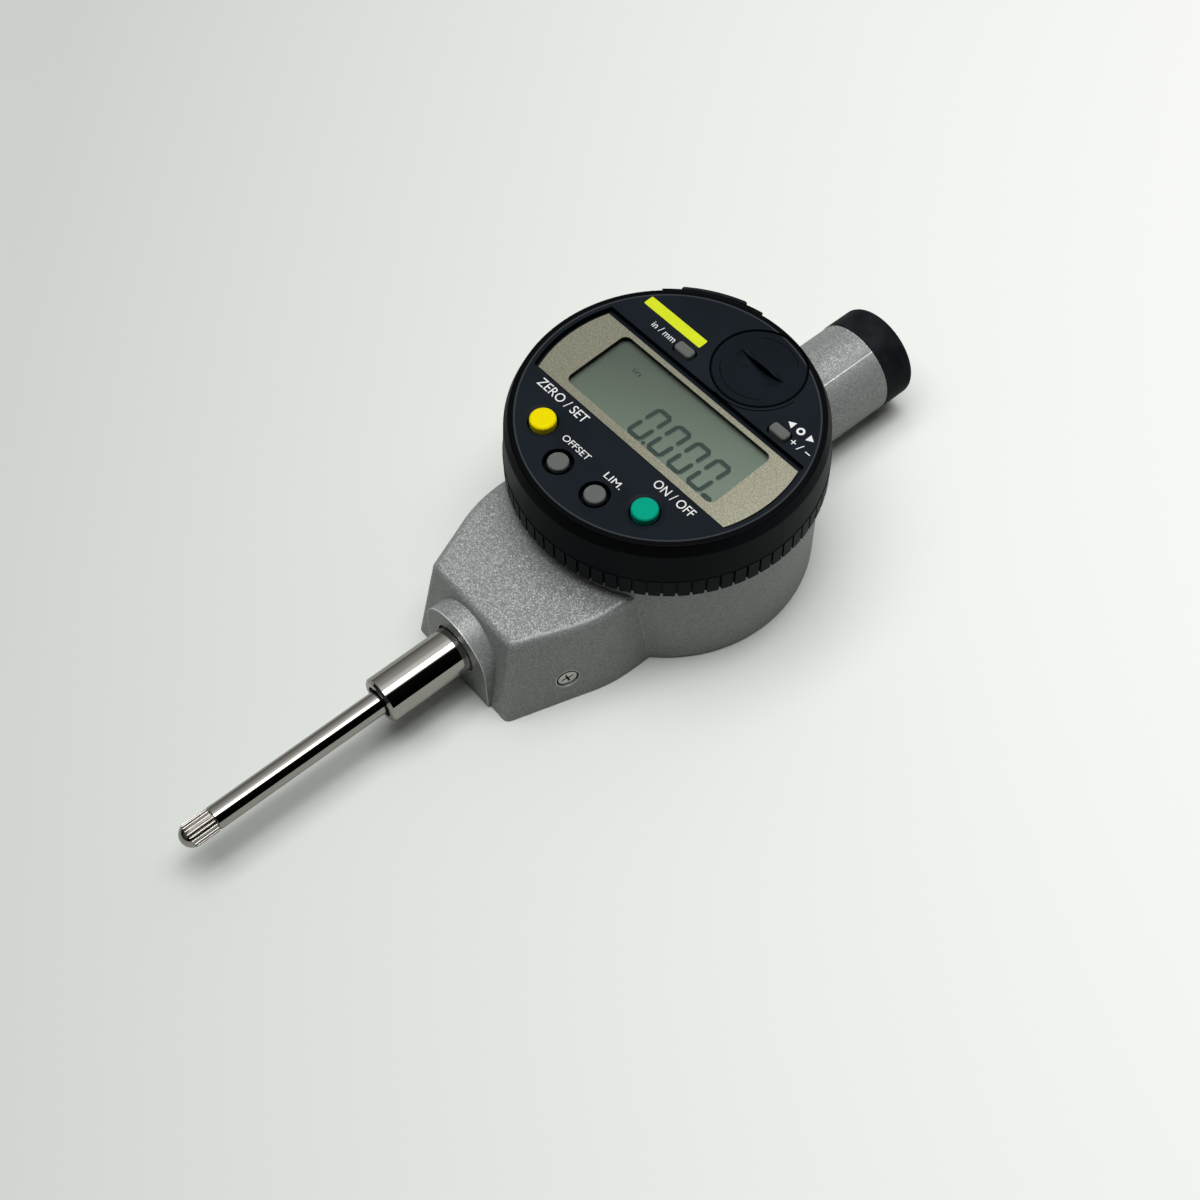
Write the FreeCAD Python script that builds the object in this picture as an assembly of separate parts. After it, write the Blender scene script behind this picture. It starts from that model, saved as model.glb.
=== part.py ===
import FreeCAD, Part
import math
import os

# Digital indicator with a one inch travel, lying on its flat back.
# The origin is the centre of the back on the display's turning axis, +Z leaves the
# display, +Y runs along the spindle to the cap tube and -Y to the contact point.
# Millimetres and degrees.

# Clearances
SEAT = 0.02
RUN = 0.05
SKIN = 0.2

# Round body
BODY_R = 30.0
BODY_WALL = 4.4
DECK_Z = 25.1
DECK_T = 2.7
BACK_EDGE = 0.6
NECK_STEP = 5.2
NECK_WALL = 4.5
NECK_H = 2.5
CABLE_HOLE_R = 6.5

# Front block, its boss and its inner pocket
SPINDLE_Z = 11.0
BLOCK_TOP_Z = 21.8
BLOCK_FRONT_Y = -52.2
BLOCK_LEAN = 10.5
BLOCK_DRAFT = 5.5
BLOCK_FRONT_HALF = 13.9
BLOCK_SHOULDER_HALF = 18.8
BLOCK_SHOULDER_Y = -36.4
BLOCK_BOW_HALF = 20.1
BLOCK_BOW_Y = -31.6
BLOCK_WAIST_HALF = 20.6
BLOCK_WAIST_Y = -26.0
BLOCK_ROOT_Y = -14.0
BLOCK_CORNER_R = 1.5
BLOCK_EDGE_R = 1.4
BOSS_R = 9.0
BOSS_PROUD = 0.5
POCKET_HALF = 12.5
POCKET_FRONT_Y = -42.0
POCKET_FLOOR_Z = 2.0
POCKET_TOP_Z = 18.0

# Cap tube and its cap
TUBE_R = 9.93
TUBE_WALL = 1.6
TUBE_END_Y = 51.7
CAP_R = 10.05
CAP_LENGTH = 7.4
CAP_END_WALL = 1.6
CAP_SKIRT_LENGTH = 5.5
CAP_SKIRT_WALL = 1.3
CAP_EDGE_R = 1.2

# Rear cover
COVER_RIM = 1.64
COVER_T = 1.8
COVER_SCREW_INSET = 1.46
GASKET_W = 0.5
GASKET_T = 0.6

# Stem and guide bushes
STEM_R = 4.7625
STEM_LENGTH = 18.0
STEM_BORE_R = 3.0
STEM_CHAMFER = 0.5
STEM_ROOT_R = 4.4
STEM_MOAT_R = 5.3
STEM_MOAT_DEPTH = 0.8
SPINDLE_R = 2.4
BUSH_WALL = 0.85
LOWER_BUSH_LENGTH = 9.0
LOWER_BUSH_INSET = 1.6
WIPER_T = 1.2
UPPER_BUSH_R = 4.0
UPPER_BUSH_Y = 24.6
UPPER_BUSH_LENGTH = 8.0
BUMPER_R = 4.4
BUMPER_T = 0.9

# Spindle and contact point
TRAVEL = 25.4
SPINDLE_TIP_Y = -108.2
SPINDLE_TAIL_Y = 31.0
SPINDLE_CHAMFER = 0.3
POINT_R = 2.45
POINT_BARREL = 4.45
POINT_FLUTE_COUNT = 20
POINT_FLUTE_R = 0.24
POINT_STUD_R = 1.42
POINT_STUD_LENGTH = 4.0
TAIL_HOLE_R = 1.0
TAIL_HOLE_DEPTH = 6.0
STOP_RING_R = 3.4
STOP_RING_T = 0.6

# Scale carrier with its clamp, guide pin and spring lug
CARRIER_HALF = 4.6
CARRIER_LENGTH = 17.0
CARRIER_TOP_Z = 15.6
CLAMP_SLIT = 0.3
FOOT_HALF = 4.0
FOOT_T = 1.4
SCALE_TOP_Z = 6.4
SCALE_T = 1.0
SCALE_LENGTH = 38.2
GUIDE_PIN_R = 1.0
GUIDE_PIN_ROOT_X = 3.2
GUIDE_PIN_SETBACK = 6.0
LUG_HALF_H = 2.0
LUG_T = 1.4

# Guide rail
RAIL_INNER_X = 7.6
RAIL_W = 4.6
RAIL_SLOT_DEPTH = 2.8
RAIL_START_Y = -38.0
RAIL_END_Y = 3.0
RAIL_HALF_H = 3.0
RAIL_EAR_X = 13.6
RAIL_EAR_R = 2.1
RAIL_EAR_T = 3.0
RAIL_EAR_YS = (-14.0, -0.5)
RAIL_POST_R = 2.1

# Return spring
SPRING_X = -8.2
SPRING_R = 1.7
SPRING_WIRE_R = 0.3
SPRING_TURNS = 7
ANCHOR_R = 0.9
ANCHOR_SINK = 2.2

# Reader board under the scale
READER_GAP = 0.2
READER_T = 1.2
READER_HALF = 4.5
READER_SETBACK = 0.5
READER_LENGTH = 11.0
BOARD_T = 1.2
BOARD_HALF = 20.0
BOARD_START_Y = -14.5
BOARD_END_Y = 10.0
BOARD_CORNER_R = 1.5
BOARD_POST_R = 2.4
BOARD_POST_INSET = 3.0
BOARD_POST_YS = (-8.0, 6.0)

# Flexible strip from the reader board to the display
STRIP_T = 0.2
STRIP_W = 4.0
STRIP_X = -13.2
STRIP_RUN_Z = 20.4
STRIP_RISE_X = -3.2
STRIP_COIL_IN_R = 7.0
STRIP_COIL_OUT_R = 13.0
STRIP_COIL_T = 2.0

# Turning display head
HEAD_TURN = 2.48
HEAD_GAP = 0.1
BEZEL_R = 31.0
BEZEL_WALL = 1.8
BEZEL_H = 9.8
BEZEL_TOP_T = 2.4
BEZEL_FLARE = 0.3
BEZEL_SHOULDER_INSET = 0.15
BEZEL_SHOULDER_H = 2.3
BEZEL_FACE_INSET = 1.1
BEZEL_SHOULDER_R = 1.2
BEZEL_EDGE_R = 0.3
BEZEL_CHORDS = 4
GRIP_PROUD = 0.4
GRIP_H = 4.6
GRIP_FLOOR_T = 2.0
GRIP_GROOVE_COUNT = 72
GRIP_GROOVE_W = 0.5
GRIP_GROOVE_DEPTH = 0.55
BEZEL_SCREW_INSET = 1.1
BEZEL_SCREW_ANGLES = (30.0, 150.0, 210.0, 330.0)
BEZEL_POST_R = 1.25

# Retaining plate, friction washer and turning stop
PLATE_GAP = 3.9
PLATE_T = 1.0
PLATE_SCREW_INSET = 2.2
TAB_REACH = 1.3
TURN_LIMIT = 165.5
WASHER_T = 0.3
STOP_PIN_R = 0.6
STOP_PIN_H = 3.1
NECK_SEAL_R = 0.55
NECK_SEAL_Z = 26.2

# Window plate, window and display
RECESS_RIM = 3.2
RECESS_LOW_Y = -10.5
RECESS_TO_CAP = 0.95
RECESS_DEPTH = 1.4
TRIM_GAP = 0.74
TRIM_LOW_GAP = 0.55
TRIM_HIGH_GAP = 1.17
TRIM_T = 0.6
WINDOW_LEFT_X = -19.55
WINDOW_RIGHT_X = 20.15
WINDOW_LOW_Y = -8.2
WINDOW_STRIP = 1.1
WINDOW_CORNER_R = 1.5
LENS_MARGIN = 1.3
LENS_T = 0.5
VIEW_MARGIN = 0.5
LCD_T = 1.6
LCD_MARGIN = 1.6
HOLDER_MARGIN = 0.6
HOLDER_WALL = 1.0
ZEBRA_W = 1.4
ZEBRA_HALF_LENGTH = 19.0

# Main board with its parts
MAIN_BOARD_GAP = 2.8
MAIN_BOARD_T = 1.0
MAIN_BOARD_Z = 30.6
MAIN_POST_R = 1.2
MAIN_POST_INSET = 1.5
MAIN_POST_ANGLES = (-31.0, 45.5, 139.0, 211.0)
CHIP_HALF = 3.2
CHIP_T = 1.2
CHIP_X = 0.0
CHIP_Y = -15.0
SWITCH_HALF = 2.2
SWITCH_H = 1.8
PLUNGER_R = 1.1
PLUNGER_H = 0.6

# Battery and its cap
BATTERY_X = 4.15
CAP_TO_RIM = 1.85
BATTERY_R = 5.8
BATTERY_H = 5.4
BATTERY_EDGE_R = 0.4
CONTACT_T = 0.4
CONTACT_W = 3.0
CONTACT_REACH = 4.9
WELL_R = 8.0
WELL_WALL = 1.6
WELL_DEPTH = 6.6
COIN_CAP_R = 9.2
COIN_CAP_GAP = 0.15
COIN_CAP_T = 1.2
COIN_CAP_CHAMFER = 0.3
COIN_SKIRT_R = 7.95
COIN_SKIRT_WALL = 1.3
COIN_SKIRT_H = 3.4
COIN_PAD_R = 4.0
COIN_SLOT_HALF = 5.65
COIN_SLOT_W = 1.8
COIN_SLOT_DEPTH = 1.8
COIN_SCOOP_X = 3.3
COIN_SCOOP_R = 2.0
COIN_SCOOP_DEPTH = 0.5
COIN_SCOOP_SHIFT = 0.3
COIN_SEAL_T = 0.4
COIN_SEAL_IN_R = 8.2
COIN_SEAL_OUT_R = 9.1

# Output socket and its rubber cover on the rim
SOCKET_ANGLE = 119.5
SOCKET_LENGTH = 6.6
SOCKET_HALF = 5.2
SOCKET_H = 4.8
SOCKET_WALL = 0.8
PORT_HALF = 6.0
PORT_LOW_Z = 31.2
PORT_HIGH_Z = 36.8
PAD_PROUD = 0.3
PAD_ARC_ANGLE = 38.0
PAD_LIFT = 0.8
PAD_TOP_Z = 38.4
FLAP_T = 1.0
FLAP_ARC_ANGLE = 24.0
FLAP_LOW_Z = 30.9
FLAP_HIGH_Z = 38.0
FLAP_CORNER_R = 0.6
PLUG_LENGTH = 2.5

# Buttons: sizes, height above the face, edge rounding, hole and place
BUTTON_SETBACK = 0.1
BUTTON_FLANGE_T = 0.9
BUTTON_FLANGE_W = 0.5
BUTTON_STEM_R = 1.5
BUTTON_REST_GAP = 0.5
LARGE_BUTTON_R = 2.6
LARGE_BUTTON_PROUD = 1.0
LARGE_BUTTON_EDGE_R = 0.5
LARGE_HOLE_R = 3.0
LARGE_DISH_R = 3.9
LARGE_DISH_DEPTH = 0.3
LARGE_BUTTON_X = 13.9
LARGE_BUTTON_TO_RIM = 12.7
SMALL_BUTTON_R = 2.08
SMALL_BUTTON_PROUD = 0.35
SMALL_BUTTON_EDGE_R = 0.35
SMALL_HOLE_R = 3.0
SMALL_BUTTON_X = 5.0
SMALL_BUTTON_TO_RIM = 8.55
BUTTON_SHIFT_X = -0.5
OBLONG_HALF_L = 2.1
OBLONG_HALF_W = 1.15
OBLONG_CORNER_R = 0.75
OBLONG_PROUD = 0.8
OBLONG_EDGE_R = 0.4
OBLONG_GAP = 0.4
UNIT_BUTTON_X = -8.4
UNIT_BUTTON_RISE = 2.65
SIGN_BUTTON_X = 17.5
SIGN_BUTTON_RISE = 2.2

# Screws: shank radius, shank length, head radius, head height
COVER_SCREW = (0.7, 5.0, 1.2, 0.8)
RAIL_SCREW = (0.7, 8.0, 1.3, 1.0)
READER_SCREW = (0.6, 6.0, 1.2, 0.7)
PLATE_SCREW = (0.7, 4.0, 1.3, 0.8)
BEZEL_SCREW = (0.6, 5.0, 1.0, 0.8)
MAIN_SCREW = (0.5, 4.0, 1.0, 0.6)
CLAMP_SCREW = (0.6, 7.6, 1.1, 0.7)
SIDE_SCREW = (1.25, 2.8, 1.9, 0.8)
SIDE_SCREW_Y = -39.3
SIDE_SCREW_Z = 6.95
SIDE_RECESS_R = 2.3
SIDE_RECESS_DEPTH = 1.0
CROSS_W = 0.4
CROSS_REACH = 0.65
CROSS_DEPTH = 0.6

# Places worked out from the sizes above
CEILING_Z = DECK_Z - DECK_T
POCKET_R = BODY_R - BODY_WALL
BEZEL_IN_R = BEZEL_R - BEZEL_WALL
NECK_R = BEZEL_IN_R - NECK_STEP
NECK_TOP_Z = DECK_Z + NECK_H
NECK_IN_R = NECK_R - NECK_WALL
COVER_R = BODY_R - COVER_RIM
COVER_SCREW_RING_R = COVER_R - COVER_SCREW_INSET
GRIP_R = BEZEL_R + GRIP_PROUD
BEZEL_SCREW_RING_R = BEZEL_IN_R - BEZEL_SCREW_INSET
PLATE_R = BEZEL_IN_R - PLATE_GAP
PLATE_SCREW_RING_R = NECK_R - PLATE_SCREW_INSET
TAB_R = PLATE_R + TAB_REACH
STOP_PIN_RING_R = TAB_R - STOP_PIN_R
HEAD_Z = DECK_Z + HEAD_GAP
GRIP_FLOOR_Z = HEAD_Z + GRIP_FLOOR_T
GRIP_TOP_Z = HEAD_Z + GRIP_H
FACE_Z = GRIP_TOP_Z + BEZEL_H
BEZEL_UNDER_Z = FACE_Z - BEZEL_TOP_T
BOSS_FRONT_Y = BLOCK_FRONT_Y - BOSS_PROUD
STEM_END_Y = BOSS_FRONT_Y - STEM_LENGTH
BUSH_R = SPINDLE_R + RUN + BUSH_WALL
LOWER_BUSH_Y = STEM_END_Y + LOWER_BUSH_INSET
TUBE_IN_R = TUBE_R - TUBE_WALL
UPPER_BUSH_END_Y = UPPER_BUSH_Y + UPPER_BUSH_LENGTH
CARRIER_START_Y = POCKET_FRONT_Y + BUMPER_T + SKIN
CARRIER_END_Y = CARRIER_START_Y + CARRIER_LENGTH
STOP_RING_END_Y = UPPER_BUSH_Y - BUMPER_T - TRAVEL - SKIN
GUIDE_PIN_Y = CARRIER_END_Y - GUIDE_PIN_SETBACK
READER_TOP_Z = SCALE_TOP_Z - SCALE_T - READER_GAP
BOARD_TOP_Z = READER_TOP_Z - READER_T
MAIN_TOP_Z = MAIN_BOARD_Z + MAIN_BOARD_T
MAIN_BOARD_R = BEZEL_IN_R - MAIN_BOARD_GAP
BATTERY_Y = BEZEL_R - CAP_TO_RIM - COIN_CAP_R
RECESS_Z = FACE_Z - RECESS_DEPTH
RECESS_R = BEZEL_R - RECESS_RIM
RECESS_HIGH_Y = BATTERY_Y - COIN_CAP_R - RECESS_TO_CAP
TRIM_R = RECESS_R - TRIM_GAP
TRIM_LOW_Y = RECESS_LOW_Y + TRIM_LOW_GAP
TRIM_HIGH_Y = RECESS_HIGH_Y - TRIM_HIGH_GAP
WINDOW_HIGH_Y = TRIM_HIGH_Y - WINDOW_STRIP
LARGE_BUTTON_Y = LARGE_BUTTON_TO_RIM - BEZEL_R
SMALL_BUTTON_Y = SMALL_BUTTON_TO_RIM - BEZEL_R
UNIT_BUTTON_Y = RECESS_HIGH_Y + UNIT_BUTTON_RISE
SIGN_BUTTON_Y = RECESS_HIGH_Y + SIGN_BUTTON_RISE
PAD_R = BEZEL_R + PAD_PROUD
FLAP_R = PAD_R + FLAP_T
PLUG_IN_R = PAD_R - PLUG_LENGTH
SOCKET_OUT_R = PLUG_IN_R - SKIN
SOCKET_IN_R = SOCKET_OUT_R - SOCKET_LENGTH
SWITCH_TOP_Z = MAIN_TOP_Z + SWITCH_H + PLUNGER_H
BUTTON_FLANGE_Z = BEZEL_UNDER_Z - BUTTON_SETBACK
COIN_LEDGE_Z = FACE_Z - COIN_CAP_T - COIN_SEAL_T
QUARTER_ANGLES = (45.0, 135.0, 225.0, 315.0)
HALF_TURN_ANGLE = 180.0


def point(x, y, z):
    return FreeCAD.Vector(x, y, z)


def polar(radius, angle):
    turn = math.radians(angle)
    return radius * math.cos(turn), radius * math.sin(turn)


def disc(radius, low, high, x=0.0, y=0.0):
    return Part.makeCylinder(radius, high - low, point(x, y, low))


def annulus(outer, inner, low, high, x=0.0, y=0.0):
    return disc(outer, low, high, x, y).cut(disc(inner, low, high, x, y))


def rod(radius, start, end, x=0.0, z=SPINDLE_Z):
    return Part.makeCylinder(radius, end - start, point(x, start, z), point(0, 1, 0))


def sleeve(outer, inner, start, end, x=0.0, z=SPINDLE_Z):
    return rod(outer, start, end, x, z).cut(rod(inner, start, end, x, z))


def box(left, right, front, back, low, high):
    return Part.makeBox(right - left, back - front, high - low, point(left, front, low))


def joined(first, others):
    return first.fuse(others).removeSplitter()


def outline(corners):
    closed = corners + corners[:1]
    return Part.makePolygon(closed)


def turned(profile, axis):
    """Revolve (radius, height) corners about the Z axis or about the spindle's axis."""
    if axis == "Z":
        corners = [point(r, 0, h) for r, h in profile]
        return Part.Face(outline(corners)).revolve(point(0, 0, 0), point(0, 0, 1), 360)
    corners = [point(r, h, SPINDLE_Z) for r, h in profile]
    return Part.Face(outline(corners)).revolve(point(0, 0, SPINDLE_Z), point(0, 1, 0), 360)


def rounded_block(left, right, front, back, low, high, radius):
    body = box(left, right, front, back, low, high)
    upright = [e for e in body.Edges if abs(e.tangentAt(e.FirstParameter).z) > 0.9]
    return body.makeFillet(radius, upright)


def sector(radius, inner, low, high, middle, span):
    """A piece of a ring between two radii, centred on one direction."""
    wedge = Part.makeCylinder(radius, high - low, point(0, 0, low), point(0, 0, 1), span)
    piece = wedge.cut(disc(inner, low, high))
    piece.rotate(point(0, 0, 0), point(0, 0, 1), middle - span / 2)
    return piece


def edges_at(shape, height):
    """The edges that lie wholly in the plane z = height."""
    return [e for e in shape.Edges if max(abs(v.Z - height) for v in e.Vertexes) < 1e-6
            and abs(e.BoundBox.ZLength) < 1e-6]


def screw(size, seat, direction, cross=False):
    """A pan head screw whose head rests on seat and whose shank follows direction."""
    shank_r, length, head_r, head_h = size
    way = point(*direction)
    start = point(*seat)
    body = Part.makeCylinder(head_r, head_h, start - way * head_h, way)
    body = body.fuse(Part.makeCylinder(shank_r, length, start, way)).removeSplitter()
    if not cross:
        return body
    arm = head_r * CROSS_REACH
    depth = head_h * CROSS_DEPTH
    slots = Part.makeBox(CROSS_W, 2 * arm, depth, point(-CROSS_W / 2, -arm, -depth))
    other = slots.copy()
    other.rotate(point(0, 0, 0), point(0, 0, 1), 90)
    slots = slots.fuse(other)
    turn = FreeCAD.Rotation(point(0, 0, -1), way)
    slots.Placement = FreeCAD.Placement(start - way * head_h, turn)
    return body.cut(slots)


def screw_hole(size, seat, direction):
    """The hole that a screw's shank fills, starting a little before its seat."""
    shank_r, length = size[:2]
    way = point(*direction)
    start = point(*seat) - way * SEAT
    return Part.makeCylinder(shank_r + SEAT, length + SKIN, start, way)


def ring_seats(radius, angles, height):
    return [polar(radius, a) + (height,) for a in angles]


# Housing

def corner_arc(before, corner, after, radius):
    """The arc that rounds a corner of an outline."""
    a = (before - corner).normalize()
    b = (after - corner).normalize()
    half = a.getAngle(b) / 2
    reach = radius / math.tan(half)
    middle = (a + b).normalize() * (radius / math.sin(half) - radius)
    return Part.Arc(corner + a * reach, corner + middle, corner + b * reach)


def block_outline(height):
    """The front block's outline at one height: a blunt nose that widens in a bow."""
    inset = height * math.tan(math.radians(BLOCK_DRAFT))
    front = BLOCK_FRONT_Y + height * math.tan(math.radians(BLOCK_LEAN))

    def side(sign):
        nose = point(sign * (BLOCK_FRONT_HALF - inset), front, height)
        shoulder = point(sign * (BLOCK_SHOULDER_HALF - inset), BLOCK_SHOULDER_Y, height)
        bow = point(sign * (BLOCK_BOW_HALF - inset), BLOCK_BOW_Y, height)
        waist = point(sign * (BLOCK_WAIST_HALF - inset), BLOCK_WAIST_Y, height)
        root = point(sign * (BLOCK_WAIST_HALF - inset), BLOCK_ROOT_Y, height)
        across = point(0, front, height)
        arc = corner_arc(across, nose, shoulder, BLOCK_CORNER_R)
        edges = [arc.toShape(),
                 Part.LineSegment(arc.EndPoint, shoulder).toShape(),
                 Part.Arc(shoulder, bow, waist).toShape(),
                 Part.LineSegment(waist, root).toShape()]
        return edges, arc.StartPoint, root

    right, right_front, right_root = side(1)
    left, left_front, left_root = side(-1)
    edges = right + left
    edges.append(Part.LineSegment(right_root, left_root).toShape())
    edges.append(Part.LineSegment(left_front, right_front).toShape())
    return Part.Wire(Part.__sortEdges__(edges))


def front_block():
    body = Part.makeLoft([block_outline(0), block_outline(BLOCK_TOP_Z)], True, True)
    rim = [e for e in edges_at(body, BLOCK_TOP_Z) if e.BoundBox.YMin < BLOCK_ROOT_Y - SKIN]
    return body.makeFillet(BLOCK_EDGE_R, rim)


def arch_boss():
    """The horseshoe boss that carries the stem: a half round on straight cheeks."""
    left = point(-BOSS_R, BOSS_FRONT_Y, SPINDLE_Z)
    right = point(BOSS_R, BOSS_FRONT_Y, SPINDLE_Z)
    top = point(0, BOSS_FRONT_Y, SPINDLE_Z + BOSS_R)
    foot_left = point(-BOSS_R, BOSS_FRONT_Y, 0)
    foot_right = point(BOSS_R, BOSS_FRONT_Y, 0)
    edges = [Part.Arc(right, top, left).toShape(),
             Part.LineSegment(left, foot_left).toShape(),
             Part.LineSegment(foot_left, foot_right).toShape(),
             Part.LineSegment(foot_right, right).toShape()]
    face = Part.Face(Part.Wire(edges))
    depth = POCKET_FRONT_Y - BOSS_FRONT_Y - SKIN
    return face.extrude(point(0, depth, 0))


def block_half_width(y, z):
    """Half width of the block's straight flank at one place."""
    run = (y - BLOCK_FRONT_Y) / (BLOCK_SHOULDER_Y - BLOCK_FRONT_Y)
    lean = z * math.tan(math.radians(BLOCK_LEAN)) * (1 - run)
    slope = (BLOCK_SHOULDER_HALF - BLOCK_FRONT_HALF) / (BLOCK_SHOULDER_Y - BLOCK_FRONT_Y)
    inset = z * math.tan(math.radians(BLOCK_DRAFT))
    return BLOCK_FRONT_HALF + (y - BLOCK_FRONT_Y) * slope - inset - lean * slope


def side_screw_frame():
    """The side screw's place on the flank and the way that it goes in."""
    slope = math.atan2(BLOCK_SHOULDER_HALF - BLOCK_FRONT_HALF, BLOCK_SHOULDER_Y - BLOCK_FRONT_Y)
    way = point(-math.cos(slope), math.sin(slope), 0)
    place = point(block_half_width(SIDE_SCREW_Y, SIDE_SCREW_Z), SIDE_SCREW_Y, SIDE_SCREW_Z)
    return place, way


def cover_screw_seats():
    return ring_seats(COVER_SCREW_RING_R, QUARTER_ANGLES, COVER_SCREW[3])


def rail_posts():
    low = SPINDLE_Z + RAIL_HALF_H
    return [disc(RAIL_POST_R, low, CEILING_Z + SKIN, RAIL_EAR_X, y) for y in RAIL_EAR_YS]


def reader_places():
    """Where the reader board is held: near its four corners."""
    reach = BOARD_HALF - BOARD_POST_INSET
    return [(x, y) for x in (-reach, reach) for y in BOARD_POST_YS]


def reader_posts():
    return [disc(BOARD_POST_R, BOARD_TOP_Z, CEILING_Z + SKIN, x, y) for x, y in reader_places()]


def housing_hollows():
    """Everything that is cored or bored out of the casting."""
    rebate_r = POCKET_R + GASKET_W + SEAT
    rounds = [disc(COVER_R + SEAT, 0, COVER_T),
              disc(rebate_r, COVER_T, COVER_T + GASKET_T),
              disc(POCKET_R, COVER_T, CEILING_Z),
              disc(CABLE_HOLE_R, CEILING_Z, DECK_Z)]
    pocket = rounded_block(-POCKET_HALF, POCKET_HALF, POCKET_FRONT_Y, BLOCK_ROOT_Y,
                           POCKET_FLOOR_Z, POCKET_TOP_Z, BLOCK_CORNER_R)
    bores = [rod(STEM_ROOT_R + SEAT, BOSS_FRONT_Y, POCKET_FRONT_Y),
             rod(STEM_MOAT_R, BOSS_FRONT_Y, BOSS_FRONT_Y + STEM_MOAT_DEPTH),
             rod(UPPER_BUSH_R + SEAT, 0, UPPER_BUSH_END_Y),
             rod(TUBE_IN_R, UPPER_BUSH_END_Y, TUBE_END_Y)]
    return rounds + [pocket] + bores


def neck_groove():
    depth = 2 * NECK_SEAL_R + SEAT
    return annulus(NECK_R + SKIN, NECK_R - depth, NECK_SEAL_Z - NECK_SEAL_R - SEAT,
                   NECK_SEAL_Z + NECK_SEAL_R + SEAT)


def main_housing():
    drum = disc(BODY_R, 0, DECK_Z)
    drum = drum.makeFillet(BACK_EDGE, edges_at(drum, 0))
    tube = rod(TUBE_R, 0, TUBE_END_Y)
    solid = joined(drum, [front_block(), arch_boss(), tube])
    solid = solid.cut(housing_hollows())
    neck = annulus(NECK_R, NECK_IN_R, DECK_Z, NECK_TOP_Z).cut(neck_groove())
    solid = joined(solid, [neck] + rail_posts() + reader_posts())
    holes = [screw_hole(COVER_SCREW, seat, (0, 0, 1)) for seat in cover_screw_seats()]
    holes += [screw_hole(RAIL_SCREW, seat, (0, 0, 1)) for seat in rail_screw_seats()]
    holes += [screw_hole(READER_SCREW, seat, (0, 0, 1)) for seat in reader_screw_seats()]
    holes += [screw_hole(PLATE_SCREW, seat, (0, 0, -1)) for seat in plate_screw_seats()]
    holes.append(disc(ANCHOR_R + SEAT, POCKET_TOP_Z, POCKET_TOP_Z + ANCHOR_SINK + SEAT,
                      SPRING_X, anchor_y()))
    place, way = side_screw_frame()
    holes.append(Part.makeCylinder(SIDE_RECESS_R, 3 * SIDE_RECESS_DEPTH,
                                   place - way * (2 * SIDE_RECESS_DEPTH), way))
    holes.append(screw_hole(SIDE_SCREW, tuple(place + way * SIDE_RECESS_DEPTH), tuple(way)))
    return solid.cut(holes)


def rear_cover():
    plate = disc(COVER_R, 0, COVER_T)
    _, _, head_r, head_h = COVER_SCREW
    cuts = [disc(head_r + SEAT, 0, head_h, x, y) for x, y, _ in cover_screw_seats()]
    cuts += [screw_hole(COVER_SCREW, seat, (0, 0, 1)) for seat in cover_screw_seats()]
    return plate.cut(cuts)


def rear_gasket():
    return annulus(POCKET_R + GASKET_W, POCKET_R + SEAT, COVER_T, COVER_T + GASKET_T - SEAT)


def cover_screws():
    return [screw(COVER_SCREW, seat, (0, 0, 1), True) for seat in cover_screw_seats()]


def side_screw():
    place, way = side_screw_frame()
    return screw(SIDE_SCREW, tuple(place + way * SIDE_RECESS_DEPTH), tuple(way), True)


# Stem, bushes and their seals

def stem():
    inner = BUSH_R + SEAT
    profile = [(STEM_BORE_R, POCKET_FRONT_Y), (STEM_ROOT_R, POCKET_FRONT_Y),
               (STEM_ROOT_R, BOSS_FRONT_Y), (STEM_R, BOSS_FRONT_Y),
               (STEM_R, STEM_END_Y + STEM_CHAMFER), (STEM_R - STEM_CHAMFER, STEM_END_Y),
               (inner, STEM_END_Y), (inner, LOWER_BUSH_Y + LOWER_BUSH_LENGTH),
               (STEM_BORE_R, LOWER_BUSH_Y + LOWER_BUSH_LENGTH)]
    return turned(profile, "Y")


def lower_bush():
    return sleeve(BUSH_R, SPINDLE_R + RUN, LOWER_BUSH_Y, LOWER_BUSH_Y + LOWER_BUSH_LENGTH)


def spindle_wiper():
    return sleeve(BUSH_R, SPINDLE_R + RUN, LOWER_BUSH_Y - WIPER_T, LOWER_BUSH_Y)


def upper_bush():
    return sleeve(UPPER_BUSH_R, SPINDLE_R + RUN, UPPER_BUSH_Y, UPPER_BUSH_END_Y)


def lower_bumper():
    return sleeve(BUMPER_R, SPINDLE_R + RUN, POCKET_FRONT_Y, POCKET_FRONT_Y + BUMPER_T)


def upper_bumper():
    return sleeve(BUMPER_R, SPINDLE_R + RUN, UPPER_BUSH_Y - BUMPER_T, UPPER_BUSH_Y)


# Spindle with its scale

def spindle():
    end_r = SPINDLE_R - SPINDLE_CHAMFER
    profile = [(0, SPINDLE_TIP_Y), (end_r, SPINDLE_TIP_Y),
               (SPINDLE_R, SPINDLE_TIP_Y + SPINDLE_CHAMFER),
               (SPINDLE_R, SPINDLE_TAIL_Y - SPINDLE_CHAMFER),
               (end_r, SPINDLE_TAIL_Y), (0, SPINDLE_TAIL_Y)]
    shaft = turned(profile, "Y")
    stud_hole = rod(POINT_STUD_R + SEAT, SPINDLE_TIP_Y, SPINDLE_TIP_Y + POINT_STUD_LENGTH + SEAT)
    tail_hole = rod(TAIL_HOLE_R, SPINDLE_TAIL_Y - TAIL_HOLE_DEPTH, SPINDLE_TAIL_Y)
    return shaft.cut([stud_hole, tail_hole])


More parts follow.
